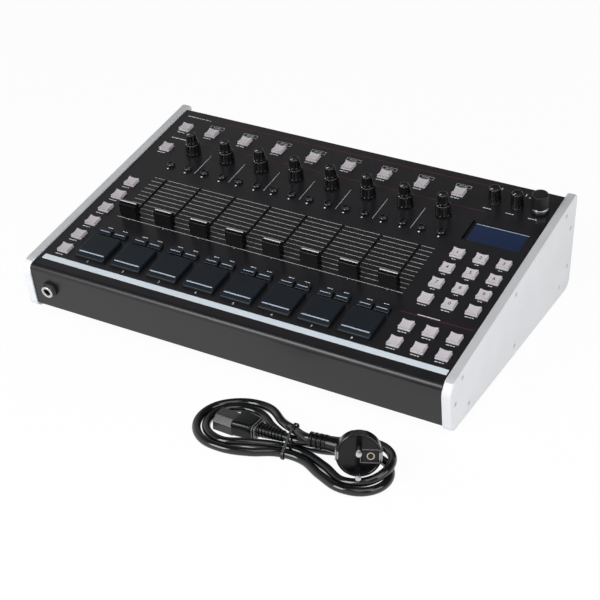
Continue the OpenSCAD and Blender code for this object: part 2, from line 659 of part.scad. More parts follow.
// heading at a route point: that of the circle through it and its neighbours
function way(i) = i == 0 ? dir_a : i == len(route) - 1 ? dir_b
    : let (a = route[i] - route[i - 1], b = route[i + 1] - route[i]) unit(a / (a * a) + b / (b * b));
function mid(i) = (route[i] + route[i + 1]) / 2
    + (way(i) - way(i + 1)) * norm(route[i + 1] - route[i]) * 0.13;
rings = [for (i = [0:2 * len(route) - 2])
    i % 2 == 0 ? route[i / 2] : mid((i - 1) / 2)];
function heading(i) = i == 0 ? dir_a : i == len(rings) - 1 ? dir_b
    : unit(rings[i + 1] - rings[i - 1]);
lead_n = 10;
function ring_pts(i) = let (t = heading(i), u = unit(cross([0, 0, 1], t)), v = cross(t, u))
    [for (k = [0:lead_n - 1]) rings[i]
        + lead_d / 2 * (u * cos(360 * k / lead_n) + v * sin(360 * k / lead_n))];
module mains_cord() color("#1a1a1c") polyhedron(
    points = [for (i = [0:len(rings) - 1]) for (q = ring_pts(i)) q],
    faces = concat([[for (k = [0:lead_n - 1]) k]],
        [for (i = [0:len(rings) - 2]) for (k = [0:lead_n - 1])
            let (a = i * lead_n + k, b = i * lead_n + (k + 1) % lead_n)
            each [[a, a + lead_n, b], [b, a + lead_n, b + lead_n]]],
        [[for (k = [lead_n - 1:-1:0]) (len(rings) - 1) * lead_n + k]]));

// turn +Z onto direction d
module aim(d) rotate([0, acos(d.z / norm(d)), atan2(d.y, d.x)]) children();
module ribs(l, r1, r2, n) {
    cylinder(r = r2 - 0.5, h = l);
    for (k = [0:n - 1]) let (h = l / (n - 0.35)) translate([0, 0, h * k])
        cylinder(r1 = r1 + (r2 - r1) * k / n, r2 = r1 + (r2 - r1) * (k + 0.6) / n, h = 0.65 * h);
}
module iec_connector() color("#202226") {
    translate([relief_a.x, relief_a.y, 0.3]) rotate([0, 0, conn_turn]) difference() {
        union() {
            translate([-conn_len - nose_len, 0, 0]) rotate([90, 0, 90]) linear_extrude(nose_len + 1)
                polygon([[-nose_w / 2, 0], [nose_w / 2, 0], [nose_w / 2, nose_h - nose_c],
                    [nose_w / 2 - nose_c, nose_h], [nose_c - nose_w / 2, nose_h],
                    [-nose_w / 2, nose_h - nose_c]]);
            intersection() {
                linear_extrude(20) polygon([[-conn_len, -nose_w / 2 - 0.7], [-4, -8.6], [0, -7.4],
                    [0, 7.4], [-4, 8.6], [-conn_len, nose_w / 2 + 0.7]]);
                translate([0, 20, 0]) rotate([90, 0, 0]) linear_extrude(40)
                    polygon([[-conn_len, 0], [-4, 0], [0, 1], [0, nose_h], [-4, nose_h + 1.2],
                        [-conn_len, nose_h + 1.2]]);
            }
        }
        for (p = [[-6, 5], [6, 5], [0, 8.4]])
            translate([-conn_len - nose_len - 1, p.x - 2.1, p.y - 1.1]) cube([13, 4.2, 2.2]);
    }
    translate(relief_a - dir_a * 1.5) aim(dir_a) {
        cylinder(r = 6.6, h = 4);
        ribs(norm(route[0] - relief_a) + 1.5, 6, lead_d / 2 + 0.9, 9);
    }
}

module mains_plug() color("#1c1c1f") {
    translate(plug_at) rotate(plug_turn) {
        difference() {
            union() {
                translate([0, 0, -plug_t]) cylinder(r = plug_r, h = plug_t - 1);
                translate([0, 0, -1]) cylinder(r1 = plug_r, r2 = plug_r - 1, h = 1);
                translate([0, 0, -18]) cylinder(r1 = 13, r2 = plug_r - 0.8, h = 8.1);
            }
            translate([8.8, 0, -8]) cylinder(r = 2.6, h = 10);
            for (m = [-1, 1]) translate([m * plug_r, 0, -5]) cube([3, 9, 11], center = true);
        }
        for (m = [-1, 1]) {
            translate([0, m * pin_gap / 2, -1]) cylinder(r = pin_d / 2, h = pin_len);
            translate([0, m * pin_gap / 2, pin_len - 1])
                cylinder(r1 = pin_d / 2, r2 = pin_d / 2 - 0.8, h = 1);
            translate([m * (plug_r - 1), 0, -5.5]) cube([1.2, 6, 10], center = true);
        }
    }
    translate(route[len(route) - 1]) aim(dir_b) {
        ribs(14, lead_d / 2 + 1, lead_d / 2 + 1.5, 5);
        translate([0, 0, 13]) cylinder(r1 = 5.2, r2 = 6.4, h = 14);
    }
}

// outer strands where the tie passes, as (y, z) and the room round each
tie_x = 100;
strands = [[-207.3, 3.5, 0.3], [-189.6, 3.5, 0.3], [-190.1, 15.3, 0.9], [-191.9, 15.8, 0.9]];
module tie_loop(grow) hull() for (p = strands) translate([p.x, p.y])
    circle(r = lead_d / 2 + p.z + grow, $fn = 32);
module cord_tie() color("#101012") translate([tie_x - 1.25, 0, 0]) rotate([90, 0, 90])
    difference() {
        linear_extrude(2.5) tie_loop(0.75);
        translate([0, 0, -1]) linear_extrude(5) tie_loop(0);
        translate([-250, -20, -1]) cube([100, 20, 5]);
    }

top_panel();
bottom_plate();
rear_panel();
side_plates();
end_cheek_left();
end_cheek_right();
cheek_screws();
rubber_feet();
panel_leds();
display();
control_board();
control_bodies();
headphone_jack();
rear_sockets();
power_inlet();
power_supply();
power_rocker();
mode_keys();
keypad_keys();
track_buttons();
pad_buttons();
pot_knob(pots_at[0]);  // volume_knob
pot_knob(pots_at[1]);  // gain_knob
select_encoder();
drum_pad(0);  // drum_pad_1
drum_pad(1);  // drum_pad_2
drum_pad(2);  // drum_pad_3
drum_pad(3);  // drum_pad_4
drum_pad(4);  // drum_pad_5
drum_pad(5);  // drum_pad_6
drum_pad(6);  // drum_pad_7
drum_pad(7);  // drum_pad_8
fader_cap(0);  // fader_cap_1
fader_cap(1);  // fader_cap_2
fader_cap(2);  // fader_cap_3
fader_cap(3);  // fader_cap_4
fader_cap(4);  // fader_cap_5
fader_cap(5);  // fader_cap_6
fader_cap(6);  // fader_cap_7
fader_cap(7);  // fader_cap_8
outer_knob(0);  // outer_knob_1
outer_knob(1);  // outer_knob_2
outer_knob(2);  // outer_knob_3
outer_knob(3);  // outer_knob_4
outer_knob(4);  // outer_knob_5
outer_knob(5);  // outer_knob_6
outer_knob(6);  // outer_knob_7
outer_knob(7);  // outer_knob_8
inner_knob(0);  // inner_knob_1
inner_knob(1);  // inner_knob_2
inner_knob(2);  // inner_knob_3
inner_knob(3);  // inner_knob_4
inner_knob(4);  // inner_knob_5
inner_knob(5);  // inner_knob_6
inner_knob(6);  // inner_knob_7
inner_knob(7);  // inner_knob_8
mains_cord();
iec_connector();
mains_plug();
cord_tie();
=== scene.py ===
"""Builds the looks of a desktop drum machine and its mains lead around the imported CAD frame.

The deck frame has x across the machine, s up the slope from the front face and w out of the deck.
Sizes in the tables below are millimetres; DECK turns them into the shared frame in metres.
"""

import math

import bmesh
import bpy
from bpy.props import FloatProperty, FloatVectorProperty, IntProperty, PointerProperty
from mathutils import Matrix, Vector


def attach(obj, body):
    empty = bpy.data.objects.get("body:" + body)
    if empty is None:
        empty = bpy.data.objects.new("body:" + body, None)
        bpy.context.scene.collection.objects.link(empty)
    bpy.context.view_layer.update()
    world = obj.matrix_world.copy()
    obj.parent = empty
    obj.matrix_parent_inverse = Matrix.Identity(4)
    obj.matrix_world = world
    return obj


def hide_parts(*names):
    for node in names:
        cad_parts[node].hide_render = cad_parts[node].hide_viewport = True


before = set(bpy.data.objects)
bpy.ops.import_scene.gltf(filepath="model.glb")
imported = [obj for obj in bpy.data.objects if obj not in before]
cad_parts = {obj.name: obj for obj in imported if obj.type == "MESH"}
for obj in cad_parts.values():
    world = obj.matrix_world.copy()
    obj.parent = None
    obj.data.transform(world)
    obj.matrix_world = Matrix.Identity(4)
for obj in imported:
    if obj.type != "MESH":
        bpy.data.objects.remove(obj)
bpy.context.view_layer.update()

bl_info = {
    "name": "Drum machine looks",
    "version": (1, 0, 0),
    "blender": (4, 5, 0),
    "location": "3D View > Sidebar > Drum machine",
    "description": "Keys, pads, faders, knobs, print and mains lead of a desktop drum machine",
    "category": "Object",
}

MM = 0.001
SLOPE = math.radians(10)
FRONT_Y, FRONT_Z = -129.601889, 48.2
REAR_Y, BACK_Y = 124.675472, 132.975
WALL_X, HALF_WIDTH = 192.0, 200.0
DECK = (
    Matrix.Scale(MM, 4)
    @ Matrix.Translation((0, FRONT_Y, FRONT_Z))
    @ Matrix.Rotation(SLOPE, 4, "X")
)
PLAIN = Matrix.Scale(MM, 4)

# places on the deck, as x and s: the eight columns, the keys, then what repeats in a column
PITCH = 36
COLUMNS = [-147.5 + PITCH * i for i in range(8)]
KEYPAD_X = [137.9, 158.6, 179.3]
LEFT_X, TOP_S, ROW = -176.0, 230.6, 20.9
MODE_KEYS = (
    [(x, TOP_S) for x in COLUMNS]
    + [(LEFT_X, TOP_S), (LEFT_X, 195.8)]
    + [(LEFT_X, 31.4 + ROW * k) for k in range(6)]
)
NUMBER_KEYS = [(x, 88.9 + ROW * k) for k in range(4) for x in KEYPAD_X]
TRANSPORT_KEYS = [(x, 31.9 + ROW * k) for k in range(2) for x in KEYPAD_X]
KNOB_S, PAD_S = 197.5, 40.8
ROUND_S, ROUND_X, LED_S = 172.6, 9.0, 167.1
SMALL_S, SMALL_X = 63.1, 7.6
SLOT_S, SLOT_LEN, CAP_S = 89.0, 62.0, 91.5

# cheek screws, as s and w
SCREWS = [
    (239.6, -5.2), (250.6, -25.5), (244.1, -62.54), (226.4, -73.63), (126.9, -5.2),
    (123.7, -57.25), (20.7, -5.2), (6.5, -20.9), (31.1, -41.02),
]

# way that a knob's mark points at rest, and the middle of the display
POINTER = Vector((-0.5, -0.866))
DISPLAY_X, DISPLAY_S = 157.9, 185.25

# print: ends and first line of the scales, separators, then bars as (x, s, width, depth)
SCALE_FROM, SCALE_TO, SCALE_S, SCALE_STEP, SCALE_LINES = -160.0, 118.0, 88.8, 5.6, 12
SEPARATOR_X, SEPARATOR_S, SEPARATOR_LEN = -129.3, 184.1, 30.0
SECTION_LINES = [
    (157.5, 67.5, 63, 0.55), (-20, 249.4, 320, 0.5), (-8, 213.2, 292, 0.5), (178, 249.4, 22, 0.5),
]
KNOB_DASHES = [
    (131, 247.5, 2.2, 0.9), (137, 249.4, 0.7, 2.8), (160, 248.5, 0.7, 3.4), (164, 246, 1.6, 0.8),
]
FRAME_S, FRAME_WIDTH, FRAME_DEPTH = 240.9, 14.2, 4.0

# how far keys, buttons and pads reach into the deck
SUNK = -1.5

# sockets: bore radius, end of the bore, back and side of the body; then the places in the walls
JACK_BORE, JACK_END, JACK_BACK, JACK_SIDE = 3.2, -25.4, -27.5, 14.0
ROUND_BORE, ROUND_END, ROUND_BACK, ROUND_SIDE = 7.6, -8.0, -15.5, 20.0
SOCKET_FRONT = -1.5
PHONES_X, PHONES_W = -174.1, -20.4
SOCKET_Z = 50.0
REAR_JACKS = [(-10 + 20 * k, 0, 0) for k in range(10)]
FIVE_PINS = [(-90 + 24 * k, 0, 0) for k in range(3)]

# camera: where it stands, what is right of it and where it looks, in metres
CAMERA_AT = Vector((0.55967, -1.0208957, 0.6982549))
CAMERA_RIGHT = Vector((0.8769871, 0.4805138, -0.0003399))
CAMERA_AHEAD = Vector((-0.4123275, 0.7521765, -0.5140199))

# soft boxes: name, place, width, height and share of the lamp power
SOFT_BOXES = [
    ("soft box over the deck", (0.45, -0.45, 1.15), 0.9, 0.9, 0.65),
    ("soft box at the right", (1.7, -0.3, 1.0), 1.2, 1.2, 1.5),
    ("soft box in front", (0.6, -1.9, 1.1), 1.3, 1.3, 0.3),
    ("soft box at the front left", (-0.56, -1.46, 0.9), 0.7, 0.9, 2.15),
]
LAMPS_AIM = Vector((0, 0, 0.05))

# centreline of the lead, from the connector's relief to the plug's
ROUTE = [
    (93, -195, 9.7), (105, -195.7, 10), (118.3, -190.2, 10.9), (133.1, -181.1, 10.1),
    (150.9, -171, 9.8), (173.5, -176.7, 11.3), (181, -195.6, 11.4), (173.2, -211.1, 7.8),
    (154.9, -216.1, 4.1), (134.7, -207, 3.9), (112, -199.2, 3.5), (90, -200.7, 3.5),
    (69.2, -209.7, 5.1), (49.1, -215.7, 4.2), (31.9, -207.7, 3.6), (26.3, -190.6, 3.5),
    (34.3, -175.4, 3.7), (57.9, -170.5, 3.7), (77.1, -182.1, 3.7), (99, -189.8, 3.5),
    (119.9, -189.8, 3.7), (138.7, -183.3, 3.6), (158.4, -177, 3.6), (176.9, -185, 4),
    (182.7, -203.2, 3.5), (174.1, -218.7, 3.5), (156.7, -223.9, 3.5), (135, -216.9, 3.5),
    (115, -207.2, 3.5), (95, -207.8, 3.5), (75.6, -217.5, 3.5), (54.8, -222.9, 3.5),
    (34.7, -219.7, 3.5), (20.6, -203.1, 3.5), (21.1, -181.2, 3.6), (36.9, -165.2, 4.1),
    (61.4, -163.1, 5.9), (83, -178.5, 9), (97.8, -189.6, 14.9), (117, -198.3, 18.2),
]

# ends of the strain reliefs, the plug and the connector, and the tie with the strands in it
RELIEF_A = Vector((70, -193.8, 7.5))
RELIEF_B = Vector((155.6, -193.6, 17.3))
PLUG_AT = Vector((159.5, -201.5, 19.2))
PLUG_TURN = Matrix.Rotation(math.radians(26), 4, "Z") @ Matrix.Rotation(math.radians(78), 4, "X")
CONN_TURN = Matrix.Rotation(math.radians(-2), 4, "Z")
TIE_X = 100.0
TIE_STRANDS = [(-207.3, 3.5, 0.3), (-189.6, 3.5, 0.3), (-190.1, 15.3, 0.9), (-191.9, 15.8, 0.9)]


# ---------- settings ----------
def length_prop(name, description, default):
    """A length setting, given in millimetres."""
    return FloatProperty(
        name=name, description=description, default=default * MM, min=0, unit="LENGTH",
        subtype="DISTANCE", precision=5,
    )


def colour_prop(name, description, red, green, blue):
    """A colour setting, given in 8-bit display values."""
    return FloatVectorProperty(
        name=name, description=description, subtype="COLOR", size=3, min=0, max=1,
        default=tuple(linear(v) for v in (red, green, blue)),
    )


def linear(value):
    """Scene-linear value of an 8-bit display value."""
    v = value / 255
    return v / 12.92 if v <= 0.04045 else ((v + 0.055) / 1.055) ** 2.4


class CaseSettings(bpy.types.PropertyGroup):
    cheek_edge: length_prop("Cheek edge", "Rounding of an end cheek's outer edge", 1.5)
    band_from: length_prop("Band start", "Slope position where the front band starts", 12.7)
    band_to: length_prop("Band end", "Slope position where the front band ends", 19.0)
    coat: colour_prop("Powder coat", "Colour of the deck and the tray", 22, 22, 25)
    cheek: colour_prop("Cheek", "Colour of the end cheeks", 226, 228, 231)
    band: colour_prop("Band", "Colour of the band on the front of the deck", 205, 214, 222)
    white: colour_prop("White print", "Colour of the lines and marks", 208, 208, 212)
    red: colour_prop("Red print", "Colour of the section lines", 88, 30, 36)
    glass: colour_prop("Display", "Colour of the dark display", 20, 37, 68)


class KeySettings(bpy.types.PropertyGroup):
    side: length_prop("Side", "Side of a square key", 11.0)
    waist: length_prop("Waist", "How far a key's sides are drawn in at their middles", 0.75)
    height: length_prop("Height", "Height of a key's corners above the deck", 2.6)
    dish: length_prop("Dish", "Radius of the hollow in a key", 34.0)
    corner: length_prop("Corner", "Corner radius of a key", 0.9)
    colour: colour_prop("Colour", "Colour of a square key", 196, 191, 195)
    digit: colour_prop("Digit", "Colour of the printed digits", 44, 42, 46)


class PadSettings(bpy.types.PropertyGroup):
    width: length_prop("Width", "Width of a pad", 28.5)
    depth: length_prop("Depth", "Depth of a pad", 30.0)
    height: length_prop("Height", "Height of a pad above the deck", 3.7)
    bevel: length_prop("Front bevel", "Depth of the bevel at a pad's front", 3.5)
    small_width: length_prop("Button width", "Width of a small button", 12.8)
    small_depth: length_prop("Button depth", "Depth of a small button", 6.8)
    small_height: length_prop("Button height", "Height of a small button above the deck", 2.6)
    small_bevel: length_prop("Button bevel", "Depth of the bevel at a small button's front", 2.4)
    colour: colour_prop("Colour", "Colour of pads and small buttons", 19, 25, 31)
    # painted highlight: pale bars for the highlights along the rounded front edges of pads and
    # buttons
    light: colour_prop("Painted highlight bar", "Colour of the painted highlight bars", 172, 186, 204)


class FaderSettings(bpy.types.PropertyGroup):
    width: length_prop("Width", "Width of a fader cap", 17.2)
    depth: length_prop("Depth", "Depth of a fader cap at its foot", 6.6)
    shoulder: length_prop("Shoulder", "Height of a cap's shoulder above the deck", 15.1)
    ridge: length_prop("Ridge", "Height of a cap's ridge above the deck", 16.0)


class KnobSettings(bpy.types.PropertyGroup):
    outer: length_prop("Outer radius", "Radius of an outer knob", 7.0)
    inner: length_prop("Inner radius", "Radius of an inner knob", 4.7)
    single: length_prop("Single radius", "Radius of the two single knobs", 5.3)
    encoder: length_prop("Encoder radius", "Radius of the encoder knob", 7.4)
    outer_top: length_prop("Outer top", "Height of an outer knob's top above the deck", 11.5)
    inner_top: length_prop("Inner top", "Height of an inner knob's top above the deck", 21.5)
    single_top: length_prop("Single top", "Height of a single knob's top above the deck", 14.5)
    flutes: IntProperty(name="Flutes", description="Flutes round a large knob", default=12, min=6)
    colour: colour_prop("Colour", "Colour of knobs and fader caps", 12, 12, 14)


class LeadSettings(bpy.types.PropertyGroup):
    diameter: length_prop("Diameter", "Diameter of the mains lead", 6.9)
    ribs: IntProperty(name="Ribs", description="Ribs on the connector's relief", default=9, min=3)
    colour: colour_prop("Colour", "Colour of the lead's sheath", 15, 16, 18)


class StageSettings(bpy.types.PropertyGroup):
    floor: colour_prop("Floor", "Colour of the floor", 250, 250, 250)
    lens: FloatProperty(name="Lens", description="Focal length of the camera, in mm", default=92.58)
    lamp: FloatProperty(name="Lamp power", description="Power of a soft box of share 1", default=8)


SETTINGS = {
    "dm_case": CaseSettings, "dm_keys": KeySettings, "dm_pads": PadSettings,
    "dm_faders": FaderSettings, "dm_knobs": KnobSettings, "dm_lead": LeadSettings,
    "dm_stage": StageSettings,
}


# ---------- materials ----------
def rgba(colour):
    """The colour with full opacity."""
    return (*colour[:3], 1.0)


def grey(value):
    """Scene-linear grey of an 8-bit display value."""
    return (linear(value),) * 3


def add(tree, kind, **values):
    """A node with its properties and unlinked input values set."""
    node = tree.nodes.new(kind)
    for key, value in values.items():
        if key.startswith("in_"):
            node.inputs[key[3:].replace("_", " ")].default_value = value
        else:
            setattr(node, key, value)
    return node


def group(name, inputs, outputs):
    """An empty shader group with its sockets, its input node and its output node."""
    tree = bpy.data.node_groups.new(name, "ShaderNodeTree")
    for kind, sockets in (("INPUT", inputs), ("OUTPUT", outputs)):
        for label, socket, default in sockets:
            made = tree.interface.new_socket(name=label, in_out=kind, socket_type=socket)
            if default is not None:
                made.default_value = default
    return tree, tree.nodes.new("NodeGroupInput"), tree.nodes.new("NodeGroupOutput")


def grain_group():
    """Fine surface grain: two noises of different size as one height and one roughness."""
    if "Fine grain" in bpy.data.node_groups:
        return bpy.data.node_groups["Fine grain"]
    tree, given, result = group(
        "Fine grain",
        [("Vector", "NodeSocketVector", None), ("Scale", "NodeSocketFloat", 900.0),
         ("Roughness", "NodeSocketFloat", 0.4), ("Spread", "NodeSocketFloat", 0.06)],
        [("Height", "NodeSocketFloat", None), ("Roughness", "NodeSocketFloat", None)],
    )
    link = tree.links.new
    fine = add(tree, "ShaderNodeTexNoise", in_Detail=3.0, in_Roughness=0.6)
    broad = add(tree, "ShaderNodeTexNoise", in_Detail=2.0, in_Scale=38.0)
    mixed = add(tree, "ShaderNodeMath", operation="MULTIPLY_ADD")
    mixed.inputs[1].default_value = 0.25
    link(given.outputs["Vector"], fine.inputs["Vector"])
    link(given.outputs["Vector"], broad.inputs["Vector"])
    link(given.outputs["Scale"], fine.inputs["Scale"])
    link(broad.outputs["Fac"], mixed.inputs[0])
    link(fine.outputs["Fac"], mixed.inputs[2])
    link(mixed.outputs[0], result.inputs["Height"])
    centred = add(tree, "ShaderNodeMath", operation="SUBTRACT")
    centred.inputs[1].default_value = 0.5
    spread = add(tree, "ShaderNodeMath", operation="MULTIPLY_ADD")
    link(broad.outputs["Fac"], centred.inputs[0])
    link(centred.outputs[0], spread.inputs[0])
    link(given.outputs["Spread"], spread.inputs[1])
    link(given.outputs["Roughness"], spread.inputs[2])
    link(spread.outputs[0], result.inputs["Roughness"])
    return tree


def mottle_group():
    """Slight cloudiness of a colour, with a few fine specks of dust."""
    if "Mottled colour" in bpy.data.node_groups:
        return bpy.data.node_groups["Mottled colour"]
    tree, given, result = group(
        "Mottled colour",
        [("Vector", "NodeSocketVector", None), ("Color", "NodeSocketColor", None),
         ("Amount", "NodeSocketFloat", 0.08), ("Scale", "NodeSocketFloat", 30.0),
         ("Dust", "NodeSocketFloat", 0.0)],
        [("Color", "NodeSocketColor", None)],
    )
    link = tree.links.new
    cloud = add(tree, "ShaderNodeTexNoise", in_Detail=4.0)
    spread = add(tree, "ShaderNodeMapRange", in_From_Min=0.3, in_From_Max=0.7)
    low = add(tree, "ShaderNodeMath", operation="SUBTRACT")
    low.inputs[0].default_value = 1.0
    high = add(tree, "ShaderNodeMath", operation="ADD")
    high.inputs[0].default_value = 1.0
    tone = add(tree, "ShaderNodeVectorMath", operation="SCALE")
    specks = add(tree, "ShaderNodeTexVoronoi", in_Scale=420.0)
    dot = add(tree, "ShaderNodeMapRange", in_From_Min=0.05, in_From_Max=0.11, in_To_Min=1.0,
              in_To_Max=0.0)
    weight = add(tree, "ShaderNodeMath", operation="MULTIPLY")
    dusted = add(tree, "ShaderNodeMix", data_type="RGBA")
    dusted.inputs[7].default_value = (0.5, 0.5, 0.5, 1)
    link(given.outputs["Vector"], cloud.inputs["Vector"])
    link(given.outputs["Scale"], cloud.inputs["Scale"])
    link(cloud.outputs["Fac"], spread.inputs["Value"])
    link(given.outputs["Amount"], low.inputs[1])
    link(given.outputs["Amount"], high.inputs[1])
    link(low.outputs[0], spread.inputs["To Min"])
    link(high.outputs[0], spread.inputs["To Max"])
    link(given.outputs["Color"], tone.inputs[0])
    link(spread.outputs["Result"], tone.inputs["Scale"])
    link(given.outputs["Vector"], specks.inputs["Vector"])
    link(specks.outputs["Distance"], dot.inputs["Value"])
    link(dot.outputs["Result"], weight.inputs[0])
    link(given.outputs["Dust"], weight.inputs[1])
    link(weight.outputs[0], dusted.inputs[0])
    link(tone.outputs["Vector"], dusted.inputs[6])
    link(dusted.outputs[2], result.inputs["Color"])
    return tree


def finish(name, colour, roughness, grain=900.0, bump=0.15, mottle=0.06, dust=0.0, **shader):
    """A material with varied colour, roughness and grain; shader sets its plain sockets."""
    if name in bpy.data.materials:
        return bpy.data.materials[name]
    made = bpy.data.materials.new(name)
    made.use_nodes = True
    tree = made.node_tree
    tree.nodes.clear()
    link = tree.links.new
    where = add(tree, "ShaderNodeTexCoord")
    body = add(tree, "ShaderNodeBsdfPrincipled")
    for key, value in shader.items():
        body.inputs[key.replace("_", " ")].default_value = value
    grained = add(tree, "ShaderNodeGroup", node_tree=grain_group(), in_Scale=grain,
                  in_Roughness=roughness, in_Spread=roughness * 0.35)
    mottled = add(tree, "ShaderNodeGroup", node_tree=mottle_group(), in_Color=rgba(colour),
                  in_Amount=mottle, in_Dust=dust)
    raised = add(tree, "ShaderNodeBump", in_Strength=bump, in_Distance=0.0002)
    out = add(tree, "ShaderNodeOutputMaterial")
    link(where.outputs["Object"], grained.inputs["Vector"])
    link(where.outputs["Object"], mottled.inputs["Vector"])
    link(grained.outputs["Height"], raised.inputs["Height"])
    link(grained.outputs["Roughness"], body.inputs["Roughness"])
    link(mottled.outputs["Color"], body.inputs["Base Color"])
    link(raised.outputs["Normal"], body.inputs["Normal"])
    link(body.outputs["BSDF"], out.inputs["Surface"])
    return made


def finishes(scene):
    """Every finish of the machine and its lead, by name."""
    case, keys, pads = scene.dm_case, scene.dm_keys, scene.dm_pads
    knobs, lead = scene.dm_knobs, scene.dm_lead
    return {
        "coat": finish("Powder coat", case.coat, 0.31, grain=1500, bump=0.1, mottle=0.05,
                       dust=0.02, Specular_IOR_Level=0.45),
        "cheek": finish("Cheek paint", case.cheek, 0.42, grain=1300, bump=0.08, mottle=0.02,
                        Specular_IOR_Level=0.4),
        # painted shade: the cheeks' upward faces take a darker copy of the cheek colour, with a
        # coarser grain
        "cheek_top_painted_shade": finish("Cheek top, painted shade", tuple(c * 0.63 for c in case.cheek), 0.55,
                            grain=800, bump=0.2, mottle=0.05, Specular_IOR_Level=0.3),
        "screw": finish("Painted screw", tuple(c * 0.86 for c in case.cheek), 0.3, bump=0.05),
        "zinc": finish("Zinc", grey(170), 0.32, grain=700, mottle=0.1, Metallic=1.0),
        "nickel": finish("Nickel plate", grey(200), 0.2, grain=600, bump=0.04, Metallic=1.0),
        "tin": finish("Tinned sheet", grey(160), 0.38, grain=400, mottle=0.12, Metallic=1.0),
        "band": finish("Band print", case.band, 0.45, bump=0.05, mottle=0.02),
        "white": finish("White print", case.white, 0.5, bump=0.05, mottle=0.04),
        "faint": finish("Faint print", grey(158), 0.5, bump=0.05, mottle=0.1),
        "red": finish("Red print", case.red, 0.5, bump=0.05, mottle=0.05),
        "key": finish("Key plastic", keys.colour, 0.34, grain=1100, bump=0.07, mottle=0.03,
                      Coat_Weight=0.25, Coat_Roughness=0.25),
        # painted shade: the mode keys take the key colour darkened, for the dimmer light on them
        "key_painted_shade": finish("Mode key plastic, painted shade", tuple(c * 0.88 for c in keys.colour), 0.34,
                          grain=1100, bump=0.07, mottle=0.03, Coat_Weight=0.25,
                          Coat_Roughness=0.25),
        "digit": finish("Key print", keys.digit, 0.5, bump=0.03),
        "pad": finish("Pad rubber", pads.colour, 0.4, grain=1400, bump=0.12, mottle=0.06,
                      dust=0.02, Specular_IOR_Level=0.26),
        # painted highlight on the pads, the small buttons and the display glass's far edge
        "light": finish("Painted highlight bar", pads.light, 0.28, bump=0.03, mottle=0.04),
        "lamp": finish("White lamp", grey(214), 0.3, bump=0.02, mottle=0.02),
        "knob": finish("Knob plastic", knobs.colour, 0.17, grain=1200, bump=0.04, mottle=0.08,
                       dust=0.02, Specular_IOR_Level=0.6),
        # painted shade: the fader caps take the knob colour darkened, for the shade on their fronts
        "cap": finish("Cap plastic, painted shade", tuple(c * 0.6 for c in knobs.colour), 0.26, grain=1200,
                      bump=0.06, mottle=0.06, Specular_IOR_Level=0.26),
        "gloss": finish("Glossy button", pads.colour, 0.26, grain=900, bump=0.03,
                        Specular_IOR_Level=0.5),
        "scale": finish("Scale print", grey(172), 0.5, bump=0.05, mottle=0.08),
        "soft": finish("Soft-touch plastic", grey(20), 0.5, grain=1500, bump=0.12, mottle=0.06,
                       Specular_IOR_Level=0.3),
        "glass": finish("Display glass", case.glass, 0.16, bump=0.01, mottle=0.05,
                        Coat_Weight=0.6, Coat_Roughness=0.05),
        "bezel": finish("Display bezel", grey(9), 0.3, bump=0.05),
        "black": finish("Black plastic", grey(18), 0.38, grain=1000, bump=0.12),
        "rubber": finish("Foot rubber", grey(30), 0.8, grain=700, bump=0.3),
        "board": finish("Board lacquer", (0.02, 0.09, 0.035), 0.35, grain=300, mottle=0.15),
        "rocker": finish("Rocker plastic", (linear(170), linear(28), linear(28)), 0.22,
                         Coat_Weight=0.4),
        "sheath": finish("Cable sheath", lead.colour, 0.13, grain=500, bump=0.02, mottle=0.1,
                         dust=0.05, Specular_IOR_Level=0.6),
        "moulding": finish("Moulded plug", lead.colour, 0.19, grain=900, bump=0.05, mottle=0.1,
                           dust=0.02, Specular_IOR_Level=0.3),
        # painted light: the connector's nose is lighter than its black moulding, for the light on
        # its chamfered front
        "nose": finish("Connector nose, painted light", grey(50), 0.3, grain=900, bump=0.05, mottle=0.1),
        # painted highlight: pale grey on thin raised lips, for the highlights round the plug's
        # recess and on the connector's collars
        "highlight_lip": finish("Painted edge highlight", grey(112), 0.3, bump=0.03),
        "brass": finish("Plated brass", (0.55, 0.48, 0.36), 0.28, grain=500, Metallic=1.0),
        # painted shade: near-black for the shade inside bores, holes and slots
        "dark": finish("Painted shade of holes and slots", grey(8), 0.6, bump=0.02),
    }


# ---------- shapes ----------
def ring(radius, z, steps, wave=None):
    """Points of a circle; wave(angle) scales its radius."""
    if radius <= 0:
        return [Vector((0, 0, z))]
    points = []
    for k in range(steps):
        a = math.tau * k / steps
        r = radius * (wave(a) if wave else 1)
        points.append(Vector((r * math.cos(a), r * math.sin(a), z)))
    return points


def rounded_ring(width, depth, radius, z, steps=5):
    """Points of a rectangle with round corners."""
    points = []
    radius = min(radius, width / 2 - 1e-3, depth / 2 - 1e-3)
    for q in range(4):
        cx = (width / 2 - radius) * (1 if q in (0, 3) else -1)
        cy = (depth / 2 - radius) * (1 if q < 2 else -1)
        for k in range(steps + 1):
            a = math.pi / 2 * (q + k / steps)
            x, y = cx + radius * math.cos(a), cy + radius * math.sin(a)
            points.append(Vector((x, y, z)))
    return points


def loft(rings, capped=True):
    """Skin over rings of points; a ring of one point is a pole."""
    shape = bmesh.new()
    made = [[shape.verts.new(p) for p in points] for points in rings]
    for low, high in zip(made, made[1:]):
        count = max(len(low), len(high))
        for k in range(count):
            n = (k + 1) % count
            if len(low) == 1:
                shape.faces.new((low[0], high[n], high[k]))
            elif len(high) == 1:
                shape.faces.new((low[k], low[n], high[0]))
            else:
                shape.faces.new((low[k], low[n], high[n], high[k]))
    if capped:
        if len(made[0]) > 2:
            shape.faces.new(list(reversed(made[0])))
        if len(made[-1]) > 2:
            shape.faces.new(made[-1])
    return shape


def lathe(profile, steps=48, capped=True):
    """Turned body from (radius, z) pairs, outside first and lowest first."""
    return loft([ring(r, z, steps) for r, z in profile], capped)


